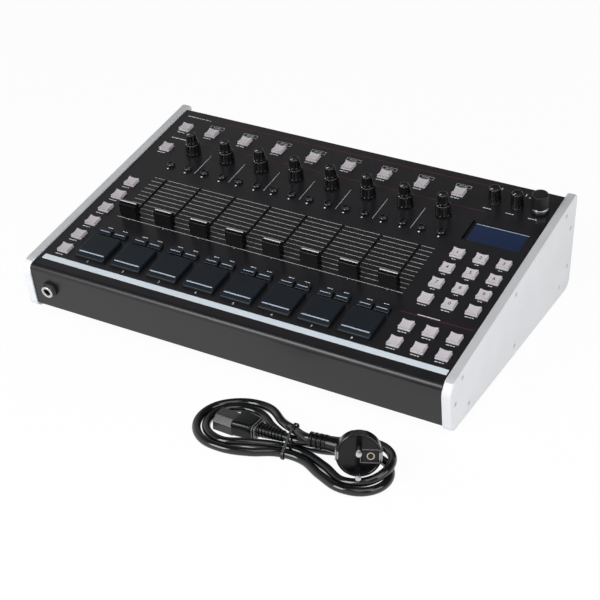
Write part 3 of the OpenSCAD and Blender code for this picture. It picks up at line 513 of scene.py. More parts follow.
def prism(outline, low, high):
    """Outline in (y, z), counter-clockwise, drawn out along x from low to high."""
    shape = bmesh.new()
    ends = [[shape.verts.new((x, y, z)) for y, z in outline] for x in (low, high)]
    for k in range(len(outline)):
        n = (k + 1) % len(outline)
        shape.faces.new((ends[0][k], ends[0][n], ends[1][n], ends[1][k]))
    shape.faces.new(list(reversed(ends[0])))
    shape.faces.new(ends[1])
    bmesh.ops.recalc_face_normals(shape, faces=shape.faces)
    return shape


def block(x, y, z, width, depth, height):
    """Box by its centre in x and y and its foot in z."""
    outline = [(y - depth / 2, z), (y + depth / 2, z), (y + depth / 2, z + height),
               (y - depth / 2, z + height)]
    return prism(outline, x - width / 2, x + width / 2)


def soften(shape, width, segments=2, angle=20):
    """Rounds the edges that are sharper than angle."""
    limit = math.radians(angle)
    edges = [e for e in shape.edges
             if len(e.link_faces) == 2 and e.calc_face_angle(0) > limit]
    bmesh.ops.bevel(shape, geom=edges, offset=width, segments=segments, profile=0.5,
                    affect="EDGES", clamp_overlap=True)
    return shape


def moved(shape, x=0, y=0, z=0, matrix=None):
    """The same shape moved by x, y and z, or by a matrix."""
    bmesh.ops.transform(shape, matrix=matrix or Matrix.Translation((x, y, z)), verts=shape.verts)
    return shape


def joined(*shapes):
    """One shape out of several, which are freed; later ones keep their material numbers."""
    whole = shapes[0]
    for part in shapes[1:]:
        scratch = bpy.data.meshes.new("scratch")
        part.to_mesh(scratch)
        part.free()
        whole.from_mesh(scratch)
        bpy.data.meshes.remove(scratch)
    return whole


def painted(shape, index):
    """The same shape with every face in material slot index."""
    for face in shape.faces:
        face.material_index = index
    return shape


def link(thing):
    """The same object, put into the scene."""
    bpy.context.scene.collection.objects.link(thing)
    return thing


def evaluated_mesh(thing):
    """The object's final mesh, with its modifiers applied."""
    bpy.context.view_layer.update()
    graph = bpy.context.evaluated_depsgraph_get()
    return bpy.data.meshes.new_from_object(
        thing.evaluated_get(graph), preserve_all_data_layers=True, depsgraph=graph
    )


def shape_of(mesh):
    """A shape with the mesh's faces; the mesh is used up."""
    shape = bmesh.new()
    shape.from_mesh(mesh)
    bpy.data.meshes.remove(mesh)
    return shape


def piece(name, shape, materials, body="case", stands_for=(), at=DECK, smooth=32,
          even=True):
    """A finished piece: its mesh put in place and shaded, riding on its body."""
    mesh = bpy.data.meshes.new(name)
    shape.to_mesh(mesh)
    shape.free()
    mesh.transform(at)
    for material in materials if isinstance(materials, (list, tuple)) else [materials]:
        mesh.materials.append(material)
    mesh.shade_smooth()
    mesh.set_sharp_from_angle(angle=math.radians(smooth))
    thing = link(bpy.data.objects.new(name, mesh))
    if even:
        weighted = thing.modifiers.new("Even shading", "WEIGHTED_NORMAL")
        weighted.keep_sharp = True
        weighted.weight = 80
        final = evaluated_mesh(thing)
        thing.modifiers.clear()
        thing.data = final
        final.name = name
        bpy.data.meshes.remove(mesh)
    if stands_for:
        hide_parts(*stands_for)
    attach(thing, body)
    return thing


def copies_tree():
    """Geometry nodes that set one shape on every point, with the size kept on the point."""
    if "Copies on points" in bpy.data.node_groups:
        return bpy.data.node_groups["Copies on points"]
    tree = bpy.data.node_groups.new("Copies on points", "GeometryNodeTree")
    for label, kind, way in (
        ("Geometry", "NodeSocketGeometry", "INPUT"), ("Shape", "NodeSocketObject", "INPUT"),
        ("Finish", "NodeSocketMaterial", "INPUT"), ("Size", "NodeSocketFloat", "INPUT"),
        ("Geometry", "NodeSocketGeometry", "OUTPUT"),
    ):
        made = tree.interface.new_socket(name=label, in_out=way, socket_type=kind)
        if label == "Size":
            made.default_value = 1.0
    link_nodes = tree.links.new
    given, result = tree.nodes.new("NodeGroupInput"), tree.nodes.new("NodeGroupOutput")
    shape = add(tree, "GeometryNodeObjectInfo", transform_space="ORIGINAL")
    size = add(tree, "GeometryNodeInputNamedAttribute", data_type="FLOAT_VECTOR", in_Name="size")
    scaled = add(tree, "ShaderNodeVectorMath", operation="SCALE")
    onto = add(tree, "GeometryNodeInstanceOnPoints")
    real = add(tree, "GeometryNodeRealizeInstances")
    coloured = add(tree, "GeometryNodeSetMaterial")
    link_nodes(given.outputs["Geometry"], onto.inputs["Points"])
    link_nodes(given.outputs["Shape"], shape.inputs["Object"])
    link_nodes(shape.outputs["Geometry"], onto.inputs["Instance"])
    link_nodes(size.outputs["Attribute"], scaled.inputs[0])
    link_nodes(given.outputs["Size"], scaled.inputs["Scale"])
    link_nodes(scaled.outputs["Vector"], onto.inputs["Scale"])
    link_nodes(onto.outputs["Instances"], real.inputs["Geometry"])
    link_nodes(real.outputs["Geometry"], coloured.inputs["Geometry"])
    link_nodes(given.outputs["Finish"], coloured.inputs["Material"])
    link_nodes(coloured.outputs["Geometry"], result.inputs["Geometry"])
    return tree


def copies(shape, points, material, sizes=None):
    """The shape repeated on points by geometry nodes, as one plain shape. The shape is used up."""
    template = bpy.data.meshes.new("template")
    shape.to_mesh(template)
    shape.free()
    original = link(bpy.data.objects.new("template", template))
    cloud = bpy.data.meshes.new("points")
    cloud.from_pydata([tuple(p) for p in points], [], [])
    values = cloud.attributes.new("size", "FLOAT_VECTOR", "POINT")
    values.data.foreach_set("vector", [v for s in (sizes or [(1, 1, 1)] * len(points)) for v in s])
    holder = link(bpy.data.objects.new("points", cloud))
    modifier = holder.modifiers.new("Copies", "NODES")
    tree = copies_tree()
    given = {"Shape": original, "Finish": material, "Size": 1.0}
    modifier.node_group = tree
    for item in tree.interface.items_tree:
        if item.in_out == "INPUT" and item.name in given:
            modifier[item.identifier] = given[item.name]
    result = evaluated_mesh(holder)
    holder.modifiers.clear()
    for thing in (holder, original):
        data = thing.data
        bpy.data.objects.remove(thing)
        bpy.data.meshes.remove(data)
    return painted(shape_of(result), 0)


def bars(places, material, height=0.12, lift=0.02):
    """Flat bars of print by their (x, s, width, depth), a hair above the deck."""
    bar = soften(block(0, 0, 0, 1, 1, 1), 0.02, 1)
    return copies(
        bar, [(x, s, lift - height / 2) for x, s, _, _ in places], material,
        sizes=[(w, d, height) for _, _, w, d in places],
    )


def digits(text, size, x, y, z):
    """Printed figures as a thin solid, centred on x and y."""
    curve = bpy.data.curves.new("digits", "FONT")
    curve.body = text
    curve.size = size
    curve.align_x = curve.align_y = "CENTER"
    curve.extrude = 0.05
    curve.resolution_u = 4
    thing = link(bpy.data.objects.new("digits", curve))
    mesh = evaluated_mesh(thing)
    bpy.data.objects.remove(thing)
    bpy.data.curves.remove(curve)
    return moved(shape_of(mesh), x, y, z)


def dress(node, material):
    """A CAD node keeps its shape and gets a finish."""
    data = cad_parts[node].data
    data.materials.clear()
    data.materials.append(material)


# ---------- keys ----------
def drawn_in_ring(side, corner, waist, z_of, steps=3, between=5):
    """Points of a square with round corners whose sides are drawn in at their middles."""
    half, flat = side / 2, side / 2 - corner
    quarter = [(flat + corner * math.cos(a), flat + corner * math.sin(a))
               for a in (math.pi / 2 * k / steps for k in range(steps + 1))]
    quarter += [(flat * (1 - 2 * k / between), half) for k in range(1, between)]
    points = []
    for q in range(4):
        for x, y in quarter:
            for _ in range(q):
                x, y = -y, x
            u = x * (1 - waist / half * (1 - (y / half) ** 2))
            v = y * (1 - waist / half * (1 - (x / half) ** 2))
            points.append(Vector((u, v, z_of(u, v))))
    return points


def key_shape(settings):
    """Square key: a ledge at its foot, drawn-in sides and a hollow top with flared corners."""
    side, top, waist = settings.side / MM, settings.height / MM, settings.waist / MM
    bowl, corner = settings.dish / MM, settings.corner / MM

    def flat(height):
        return lambda x, y: height

    def dish(drop):
        return lambda x, y: top - 0.75 - drop + (x * x + y * y) / (2 * bowl)

    rings = [
        drawn_in_ring(side, corner, 0, flat(SUNK)), drawn_in_ring(side, corner, 0, flat(0.55)),
        drawn_in_ring(side - 0.16, corner, 0.02, flat(0.72)),
        drawn_in_ring(side - 1.1, corner, waist, flat(0.8)),
        drawn_in_ring(side - 0.8, corner, waist, flat(1.15)),
        drawn_in_ring(side - 0.2, corner, waist, dish(0.24)),
        drawn_in_ring(side - 0.26, corner, waist, dish(0.08)),
        drawn_in_ring(side - 0.6, corner, waist, dish(0)),
    ]
    for share in (0.86, 0.64, 0.42, 0.2):
        rings.append(drawn_in_ring((side - 0.6) * share, corner * share, waist * share, dish(0)))
    rings.append([Vector((0, 0, dish(0)(0, 0)))])
    return loft(rings)


class DM_OT_mode_keys(bpy.types.Operator):
    """Makes the square keys of the top row and the left side, in the key plastic darkened as
    painted shade
    """

    bl_idname = "dm.mode_keys"
    bl_label = "Mode keys"

    def execute(self, context):
        looks = finishes(context.scene)
        shape = copies(key_shape(context.scene.dm_keys), [(x, s, 0) for x, s in MODE_KEYS],
                       looks["key_painted_shade"])
        piece("mode_key_caps", shape, looks["key_painted_shade"], "mode_keys", ["mode_keys"],
              smooth=50)
        return {"FINISHED"}


class DM_OT_keypad(bpy.types.Operator):
    """Makes the number and transport keys and the digits on them"""

    bl_idname = "dm.keypad"
    bl_label = "Keypad"

    def execute(self, context):
        looks = finishes(context.scene)
        keys = context.scene.dm_keys
        shape = copies(key_shape(keys), [(x, s, 0) for x, s in NUMBER_KEYS + TRANSPORT_KEYS],
                       looks["key"])
        piece("keypad_key_caps", shape, looks["key"], "keypad_keys", ["keypad_keys"],
              smooth=50)
        face = keys.height / MM - 0.75 + 0.07
        figures = []
        for k, text in enumerate(("7", "8", "9", "4", "5", "6", "1", "2", "3")):
            x, s = NUMBER_KEYS[3 + k]
            figures.append(digits(text, 5.2, x, s, face))
        figures.append(digits("0", 5.2, *NUMBER_KEYS[1], face))
        piece("keypad_digits", joined(*figures), looks["digit"], "keypad_keys", even=False)
        return {"FINISHED"}


# ---------- small buttons and pads ----------
def bevelled_shape(width, depth, height, front, round_edge):
    """Button whose top falls away at its front, with soft edges, centred on the origin."""
    outline = [(-depth / 2, SUNK), (depth / 2, SUNK), (depth / 2, height),
               (front - depth / 2, height), (-depth / 2, height - front / 2)]
    shape = prism(outline, -width / 2, width / 2)
    return soften(shape, round_edge, 3)


class DM_OT_pad_buttons(bpy.types.Operator):
    """Makes the pairs of small buttons behind the pads, with a painted highlight along the front
    edge of each top
    """

    bl_idname = "dm.pad_buttons"
    bl_label = "Small buttons"

    def execute(self, context):
        looks = finishes(context.scene)
        pads = context.scene.dm_pads
        width, depth, height = (v / MM for v in (pads.small_width, pads.small_depth,
                                                 pads.small_height))
        spots = [(x + side * SMALL_X, SMALL_S, 0) for x in COLUMNS for side in (-1, 1)]
        cap = bevelled_shape(width, depth, height, pads.small_bevel / MM, 0.24)
        shape = copies(cap, spots, looks["gloss"])
        piece("pad_button_caps", shape, looks["gloss"], "pad_buttons", ["pad_buttons"])
        # painted highlight: a pale bar along the front edge of each button's top
        shape = bars([(x, SMALL_S - 0.7, width - 3.2, 0.75) for x, _, _ in spots], looks["light"],
                     lift=height)
        piece("pad_button_lights", shape, looks["light"], "pad_buttons", even=False)
        return {"FINISHED"}


class DM_OT_pads(bpy.types.Operator):
    """Makes the eight drum pads, each with a painted highlight along the front edge of its top"""

    bl_idname = "dm.pads"
    bl_label = "Drum pads"

    def execute(self, context):
        looks = finishes(context.scene)
        pads = context.scene.dm_pads
        width, depth, height = pads.width / MM, pads.depth / MM, pads.height / MM
        for i, x in enumerate(COLUMNS):
            body = f"drum_pad_{i + 1}"
            shape = bevelled_shape(width, depth, height, pads.bevel / MM, 0.9)
            # painted highlight: a pale bar along the front edge of the pad's top
            bar = soften(block(0, 4.7 - depth / 2, height - 0.2, 24.8, 1.3, 0.26), 0.08, 2)
            shape = joined(painted(shape, 0), painted(bar, 1))
            piece(f"pad_{i + 1}", moved(shape, x, PAD_S), [looks["pad"], looks["light"]], body,
                  [body])
        return {"FINISHED"}


class DM_OT_round_buttons(bpy.types.Operator):
    """Makes the round buttons and the lights in front of them"""

    bl_idname = "dm.round_buttons"
    bl_label = "Round buttons"

    def execute(self, context):
        looks = finishes(context.scene)
        spots = [(x + side * ROUND_X, ROUND_S, 0) for x in COLUMNS for side in (-1, 1)]
        profile = [(3.0, SUNK), (3.0, 1.0), (3.7, 1.08), (3.8, 1.25), (3.72, 1.6), (3.3, 2.15),
                   (2.9, 2.45), (2.55, 2.5), (2.2, 2.36), (1.2, 2.2), (0, 2.15)]
        shape = copies(lathe(profile, 32), spots, looks["knob"])
        piece("round_buttons", shape, looks["knob"], "track_buttons", ["track_buttons"],
              smooth=60)
        lamp = lathe([(0.85, -1.9), (0.85, 0.1), (0.7, 0.28), (0.4, 0.38), (0, 0.42)], 20)
        shape = copies(lamp, [(x, LED_S, 0) for x, _, _ in spots], looks["lamp"])
        piece("round_button_lights", shape, looks["lamp"], "case", ["panel_leds"],
              smooth=60)
        return {"FINISHED"}


# ---------- faders and knobs ----------
class DM_OT_faders(bpy.types.Operator):
    """Makes the eight fader caps, in the knob plastic darkened as painted shade, with their pointer
    lines and levers
    """

    bl_idname = "dm.faders"
    bl_label = "Fader caps"

    def execute(self, context):
        looks = finishes(context.scene)
        caps = context.scene.dm_faders
        width, half = caps.width / MM, caps.depth / MM / 2
        shoulder, ridge = caps.shoulder / MM, caps.ridge / MM
        outline = [(-half, 1), (half, 1), (half, shoulder), (0.55, ridge), (-0.55, ridge),
                   (-half, shoulder)]
        for i, x in enumerate(COLUMNS):
            shape = soften(prism(outline, -width / 2, width / 2), 0.5, 3)
            lever = block(0, 0, -6, 1.2, 2, 7.2)
            line = soften(block(0, 0.1, ridge - 0.3, width - 1.1, 1.25, 0.42), 0.12, 2)
            shape = joined(painted(shape, 0), painted(lever, 1), painted(line, 2))
            body = f"fader_cap_{i + 1}"
            piece(f"fader_{i + 1}", moved(shape, x, CAP_S),
                  [looks["cap"], looks["tin"], looks["white"]], body, [body])
        return {"FINISHED"}


def fluted(radius, low, high, flutes, deep, flare, steps_each=8):
    """Knob body with flutes, wider at its foot by flare, and a shallow dished top."""
    steps = flutes * steps_each

    def wave_of(depth):
        return lambda a: 1 - depth / radius * max(0.0, math.cos(flutes * a)) ** 1.4

    plain, cut, foot = wave_of(0), wave_of(deep), radius + flare
    rings = [ring(foot - 0.3, low, steps, plain), ring(foot, low + 0.3, steps, plain),
             ring(foot, low + 0.9, steps, plain), ring(foot - 0.15 * flare, low + 1.4, steps, cut)]
    for share in (0.35, 0.7):
        rings.append(ring(radius + flare * (1 - share) ** 1.6, low + (high - low) * share, steps,
                          cut))
    rings.append(ring(radius - 0.02, high - 1.1, steps, cut))
    rings.append(ring(radius - 0.3, high - 0.5, steps, wave_of(deep * 0.7)))
    rings.append(ring(radius - 0.65, high - 0.13, steps, wave_of(deep * 0.4)))
    rings.append(ring(radius - 1.0, high, steps, plain))
    for share in (0.8, 0.5, 0.25):
        rings.append(ring((radius - 1.0) * share, high - 0.15, steps, plain))
    rings.append([Vector((0, 0, high - 0.15))])
    return loft(rings)


def pointer_mark(radius, high, reach, wide):
    """Mark on a knob's top, towards the front left."""
    mark = soften(block(radius - reach / 2, 0, high - 0.4, reach, wide, 0.46), 0.1, 2)
    return moved(mark, matrix=Matrix.Rotation(math.atan2(POINTER.y, POINTER.x), 4, "Z"))


def knob_piece(name, body, place, looks, cap, shaft, mark):
    """A knob made of its cap, its metal shaft and its white mark, riding on its body."""
    shape = joined(painted(cap, 0), painted(shaft, 1), painted(mark, 2))
    return piece(name, moved(shape, *place), [looks["knob"], looks["tin"], looks["white"]], body,
                 [body], smooth=40)


def rod(radius, low, high):
    """Round shaft that stands on the deck's axis."""
    return lathe([(radius, low), (radius, high)], 24)


class DM_OT_dual_knobs(bpy.types.Operator):
    """Makes the eight pairs of outer and inner knobs"""

    bl_idname = "dm.dual_knobs"
    bl_label = "Dual knobs"

    def execute(self, context):
        looks = finishes(context.scene)
        knobs = context.scene.dm_knobs
        outer, inner = knobs.outer / MM, knobs.inner / MM
        middle, top = knobs.outer_top / MM, knobs.inner_top / MM
        for i, x in enumerate(COLUMNS):
            knob_piece(f"outer_knob_cap_{i + 1}", f"outer_knob_{i + 1}", (x, KNOB_S), looks,
                       fluted(outer - 0.3, 0.8, middle, knobs.flutes, 0.6, 0.45),
                       rod(3.9, -7, 1), pointer_mark(outer - 0.8, middle, 1.1, 0.6))
            knob_piece(f"inner_knob_cap_{i + 1}", f"inner_knob_{i + 1}", (x, KNOB_S), looks,
                       fluted(inner - 0.3, middle + 0.3, top, 8, 0.6, 0.9),
                       rod(3.05, -9, middle + 0.5), pointer_mark(inner - 0.9, top, 2.4, 0.7))
        return {"FINISHED"}


class DM_OT_single_knobs(bpy.types.Operator):
    """Makes the two single knobs and the encoder knob with its bright collar"""

    bl_idname = "dm.single_knobs"
    bl_label = "Single knobs and encoder"

    def execute(self, context):
        looks = finishes(context.scene)
        knobs = context.scene.dm_knobs
        single, top, large = knobs.single / MM, knobs.single_top / MM, knobs.encoder / MM
        for body, x in (("volume_knob", KEYPAD_X[0]), ("gain_knob", KEYPAD_X[1])):
            knob_piece(f"{body}_cap", body, (x, TOP_S), looks,
                       fluted(single - 0.2, 1.0, top, 10, 0.55, 0.5), rod(3.05, -8, 1.2),
                       pointer_mark(single - 0.9, top, 2.6, 0.7))
        foot = lathe([(large, 1), (large, 3.0), (large - 0.3, 3.3)], 64)
        collar = lathe([(large - 0.6, 3.2), (large - 0.1, 3.5), (large + 0.05, 4.1),
                        (large - 0.1, 5.4), (large - 0.45, 5.8)], 64)
        grip = lathe([(large - 0.35, 5.7), (large, 6.0), (large - 0.15, 17.2), (large - 0.35, 18.2),
                      (large - 0.9, 18.8), (large - 1.8, 19), (0, 19)], 64)
        shape = joined(painted(grip, 0), painted(foot, 1), painted(collar, 2),
                       painted(rod(3.05, -8, 1.2), 3))
        piece("encoder_cap", moved(shape, KEYPAD_X[2], TOP_S),
              [looks["soft"], looks["black"], looks["nickel"], looks["tin"]], "select_encoder",
              ["select_encoder"], smooth=40)
        return {"FINISHED"}


# ---------- case ----------
class DM_OT_case(bpy.types.Operator):
    """Gives the deck, the tray, the feet and what is inside their finishes"""

    bl_idname = "dm.case"
    bl_label = "Case and inside"

    def execute(self, context):
        looks = finishes(context.scene)
        for node, look in {
            "top_panel": "coat", "bottom_plate": "coat", "rear_panel": "coat",
            "side_plates": "coat", "rubber_feet": "rubber", "control_board": "board",
            "control_bodies": "tin", "power_supply": "tin",
            "power_inlet": "bezel", "power_rocker": "rocker",
        }.items():
            dress(node, looks[look])
        return {"FINISHED"}


def cheek_outline(steps=14):
    """Corners of an end cheek in (y, z), rounded, counter-clockwise from the front bottom."""
    c, s = math.cos(SLOPE), math.sin(SLOPE)

    def yz(along, out):
        return Vector((FRONT_Y + along * c - out * s, FRONT_Z + along * s + out * c))

    over, low = 1.5, 2.5
    foot = (low - FRONT_Z + over * s) / c
    back_z = FRONT_Z + over * c + (BACK_Y - FRONT_Y + over * s) / c * s
    corners = [(yz(-over, foot), 9), (Vector((BACK_Y, low)), 10), (Vector((BACK_Y, back_z)), 4.5),
               (yz(-over, over), 12)]
    points = []
    for k, (corner, radius) in enumerate(corners):
        u = (corners[k - 1][0] - corner).normalized()
        v = (corners[(k + 1) % 4][0] - corner).normalized()
        half = math.acos(max(-1, min(1, u.dot(v)))) / 2
        centre = corner + (u + v).normalized() * radius / math.sin(half)
        start = corner + u * radius / math.tan(half) - centre
        a = math.atan2(start.y, start.x)
        sweep = math.pi - 2 * half
        points += [centre + radius * Vector((math.cos(a + sweep * j / steps),
                                             math.sin(a + sweep * j / steps)))
                   for j in range(steps + 1)]
    return points


def inset(outline, distance):
    """The outline moved inwards along its normals."""
    result = []
    for k, p in enumerate(outline):
        along = (outline[(k + 1) % len(outline)] - outline[k - 1]).normalized()
        result.append(p + Vector((-along.y, along.x)) * distance)
    return result


class DM_OT_cheeks(bpy.types.Operator):
    """Makes the two painted end cheeks with round edges and painted shade on their upward faces"""

    bl_idname = "dm.cheeks"
    bl_label = "End cheeks"

    def execute(self, context):
        looks = finishes(context.scene)
        outline = cheek_outline()
        edge = context.scene.dm_case.cheek_edge / MM
        levels = [(WALL_X, 0.35), (WALL_X + 0.35, 0.1), (WALL_X + 0.6, 0.0)]
        levels += [(HALF_WIDTH - edge * (1 - math.sin(a)), edge * (1 - math.cos(a)))
                   for a in (0, 0.3, 0.6, 0.9, 1.2, math.pi / 2)]
        for name, side in (("right", 1), ("left", -1)):
            rings = [[Vector((side * x, p.x, p.y)) for p in inset(outline, d)] for x, d in levels]
            shape = loft(rings)
            bmesh.ops.recalc_face_normals(shape, faces=shape.faces)
            for face in shape.faces:
                # faces turned upwards take the darker finish, painted shade on the cheek tops
                face.material_index = int(face.normal.z > 0.8)
            piece(f"cheek_{name}", shape, [looks["cheek"], looks["cheek_top_painted_shade"]], "case",
                  [f"end_cheek_{name}"], at=PLAIN, smooth=40)
        return {"FINISHED"}


class DM_OT_cheek_screws(bpy.types.Operator):
    """Makes the countersunk socket screws in both cheeks"""

    bl_idname = "dm.cheek_screws"
    bl_label = "Cheek screws"

    def execute(self, context):
        looks = finishes(context.scene)
        head = lathe([(1.9, -0.9), (2.75, -0.12), (2.95, 0.04), (2.7, 0.12), (1.55, 0.13)], 28,
                     capped=False)
        socket = loft([ring(1.55, 0.13, 28), ring(1.35, 0.08, 28), ring(1.3, -0.6, 28),
                       [Vector((0, 0, -0.75))]])
        bmesh.ops.reverse_faces(socket, faces=[f for f in socket.faces if len(f.verts) > 4])
        outer, hole = [], []
        for side in (-1, 1):
            turn = Matrix.Rotation(side * math.pi / 2, 4, "Y")
            for source, into in ((head, outer), (socket, hole)):
                copy = moved(source.copy(), matrix=turn)
                into.append(copies(
                    copy, [(side * (HALF_WIDTH + 0.02), s, w) for s, w in SCREWS], looks["screw"]))
        head.free()
        socket.free()
        shape = joined(*[painted(s, 0) for s in outer], *[painted(s, 1) for s in hole])
        piece("cheek_screw_heads", shape, [looks["screw"], looks["zinc"]], "case",
              ["cheek_screws"])
        return {"FINISHED"}


# ---------- print ----------
def label(x, s, width, broken=(0.42, 0.3, 0.28)):
    """Bars that stand for a line of small print, as (x, s, width, depth)."""
    places = []
    left = x - width / 2
    for share in broken:
        span = width * share
        places.append((left + span / 2 - 0.15, s, span - 0.5, 0.8))
        left += span
    return places


class DM_OT_print(bpy.types.Operator):
    """Prints the scales, separators, section lines, dashes, numbers and the front band"""

    bl_idname = "dm.print"
    bl_label = "Print on the deck"

    def execute(self, context):
        looks = finishes(context.scene)
        self.scales(looks)
        piece("section_lines", bars(SECTION_LINES, looks["red"]), looks["red"], even=False)
        piece("small_marks", bars(self.words(), looks["white"]), looks["white"], even=False)
        self.frames(looks)
        numbers = [digits(str(i + 1), 3.4, x, 23.4, 0.03) for i, x in enumerate(COLUMNS)]
        piece("pad_numbers", joined(*numbers), looks["white"], even=False)
        low, high = context.scene.dm_case.band_from / MM, context.scene.dm_case.band_to / MM
        band = bars([(1, (low + high) / 2, 378, high - low)], looks["band"], height=0.2)
        piece("front_band", band, looks["band"], even=False)
        return {"FINISHED"}

    def scales(self, looks):
        """Scale lines with gaps at the fader slots, painted shade along the slots' edges, and the
        separators.
        """
        ends = [SCALE_FROM]
        for x in COLUMNS:
            ends += [x - 1.5, x + 1.5]
        ends.append(SCALE_TO)
        fine = [((a + b) / 2, SCALE_S + SCALE_STEP * k, b - a, 0.46)
                for k in range(1, SCALE_LINES) for a, b in zip(ends[::2], ends[1::2])]
        bold = [((SCALE_FROM + SCALE_TO) / 2, SCALE_S - 0.6, SCALE_TO - SCALE_FROM, 0.55)]
        bold += [(x, SCALE_S - 1.5, 0.5, 1.6) for x in COLUMNS]
        bold += [(SEPARATOR_X + PITCH * k, SEPARATOR_S, 0.5, SEPARATOR_LEN) for k in range(7)]
        # painted shade: dark strips along both sides of each slot
        edges = [(x + side * 1.2, SLOT_S + SLOT_LEN / 2, 0.5, SLOT_LEN + 1)
                 for x in COLUMNS for side in (-1, 1)]
        piece("fader_slot_edges", bars(edges, looks["dark"]), looks["dark"], even=False)
        piece("fader_scales", bars(fine, looks["scale"]), looks["scale"], even=False)
        piece("scale_front_line_and_separators", bars(bold, looks["scale"]), looks["scale"],
              even=False)

    def words(self):
        """Bars in place of the words at the keys, the small buttons, the knobs and the sections."""
        marks = []
        for x, s in MODE_KEYS[:10]:
            marks += label(x - 0.5, s - 8.2, 8.5)
        for x, s in MODE_KEYS[10:]:
            marks += label(x - 1, s - 8.3, 8)
        for x, s in NUMBER_KEYS[3:]:
            marks += label(x, s - 7.9, 4.2, broken=(0.5, 0.5))
        for x, s in NUMBER_KEYS[:3] + TRANSPORT_KEYS:
            marks += label(x, s - 8.0, 8)
        for x in COLUMNS:
            marks += label(x - 7.5, 70.8, 5.5, broken=(0.6, 0.4))
            marks += label(x + 7.5, 70.8, 5, broken=(0.55, 0.45))
        for x in KEYPAD_X:
            marks += label(x - 2, 218.5, 8)
        marks += label(-170, 212.6, 22, broken=(0.4, 0.35, 0.25))
        marks += label(-172, 249.2, 26, broken=(0.35, 0.4, 0.25))
        marks += label(150, 68.8, 20, broken=(0.4, 0.6))
        return marks + KNOB_DASHES

    def frames(self, looks):
        """Thin frames with a word inside, behind the keys of the top row."""
        frames = []
        for x in COLUMNS:
            for side in (-1, 1):
                frames.append((x, FRAME_S + side * FRAME_DEPTH / 2, FRAME_WIDTH, 0.4))
            for side in (-1, 1):
                frames.append((x + side * FRAME_WIDTH / 2, FRAME_S, 0.4, FRAME_DEPTH))
            frames += label(x, FRAME_S, 8, broken=(0.5, 0.5))
        piece("label_frames", bars(frames, looks["faint"]), looks["faint"], even=False)


# ---------- display and sockets ----------
class DM_OT_display(bpy.types.Operator):
    """Makes the dark display with its frame and glass, and a painted highlight along the glass's
    far edge
    """

    bl_idname = "dm.display"
    bl_label = "Display"

    def execute(self, context):
        looks = finishes(context.scene)
        base = block(0, 0, -10, 53, 28.5, 8)
        bezel = soften(block(0, 0, -3, 56, 31, 1.3), 0.2, 2)
        glass = soften(block(1.6, -0.8, -2.9, 47.6, 24.4, 1.35), 0.15, 2)
        # painted highlight: a pale bar along the far edge of the glass
        edge = soften(block(1.6, 12.0, -2.9, 47.6, 0.6, 1.4), 0.1, 2)
        shape = joined(painted(base, 0), painted(bezel, 0), painted(glass, 1), painted(edge, 2))
        piece("display_window", moved(shape, DISPLAY_X, DISPLAY_S),
              [looks["bezel"], looks["glass"], looks["light"]], "case", ["display"])
        return {"FINISHED"}


def socket_body(side, back, bore, end):
    """Square body of a socket with a round hole in its front, a hair wider than the lined bore."""
    hole = bore * 1.015
    shape = loft([
        rounded_ring(side, side, 0.6, back, 7), rounded_ring(side, side, 0.6, SOCKET_FRONT, 7),
        rounded_ring(2 * hole, 2 * hole, 0.97 * hole, SOCKET_FRONT, 7),
        rounded_ring(2 * hole, 2 * hole, 0.97 * hole, end - 0.05, 7),
    ])
    bmesh.ops.recalc_face_normals(shape, faces=shape.faces)
    return shape


class DM_OT_headphone_jack(bpy.types.Operator):
    """Makes the front jack with its dark collar and serrated nut"""

    bl_idname = "dm.headphone_jack"
    bl_label = "Headphone jack"

    def execute(self, context):
        looks = finishes(context.scene)
        collar = lathe([(7.25, 0), (7.25, 2.2), (7.0, 2.75), (6.5, 3.0), (5.9, 3.0)], 48,
                       capped=False)
        nut = lathe([(5.8, 2.6), (5.8, 5.4), (5.5, 5.8), (4.9, 6.0), (3.7, 6.0), (3.3, 5.5),
                     (JACK_BORE, 4.5), (JACK_BORE, JACK_END)], 72, capped=False)
        for vert in nut.verts:
            flat = Vector((vert.co.x, vert.co.y))
            if flat.length > 5.0:
                a = math.atan2(flat.y, flat.x)
                k = 1 - 0.05 * (0.5 + 0.5 * math.cos(24 * a))
                vert.co.x *= k
                vert.co.y *= k
        # painted shade: a dark disc closes the bore at its end
        end = lathe([(JACK_BORE, JACK_END), (0, JACK_END - 0.02)], 72)
        housing = socket_body(JACK_SIDE, JACK_BACK, JACK_BORE, JACK_END)
        shape = joined(painted(collar, 0), painted(nut, 1), painted(end, 2), painted(housing, 0))
        bmesh.ops.recalc_face_normals(shape, faces=shape.faces)
        turn = Matrix.Translation((PHONES_X, 0, PHONES_W)) @ Matrix.Rotation(math.pi / 2, 4, "X")
        piece("headphone_socket_front", moved(shape, matrix=turn),
              [looks["black"], looks["nickel"], looks["dark"]], "case", ["headphone_jack"],
              smooth=35)
        return {"FINISHED"}


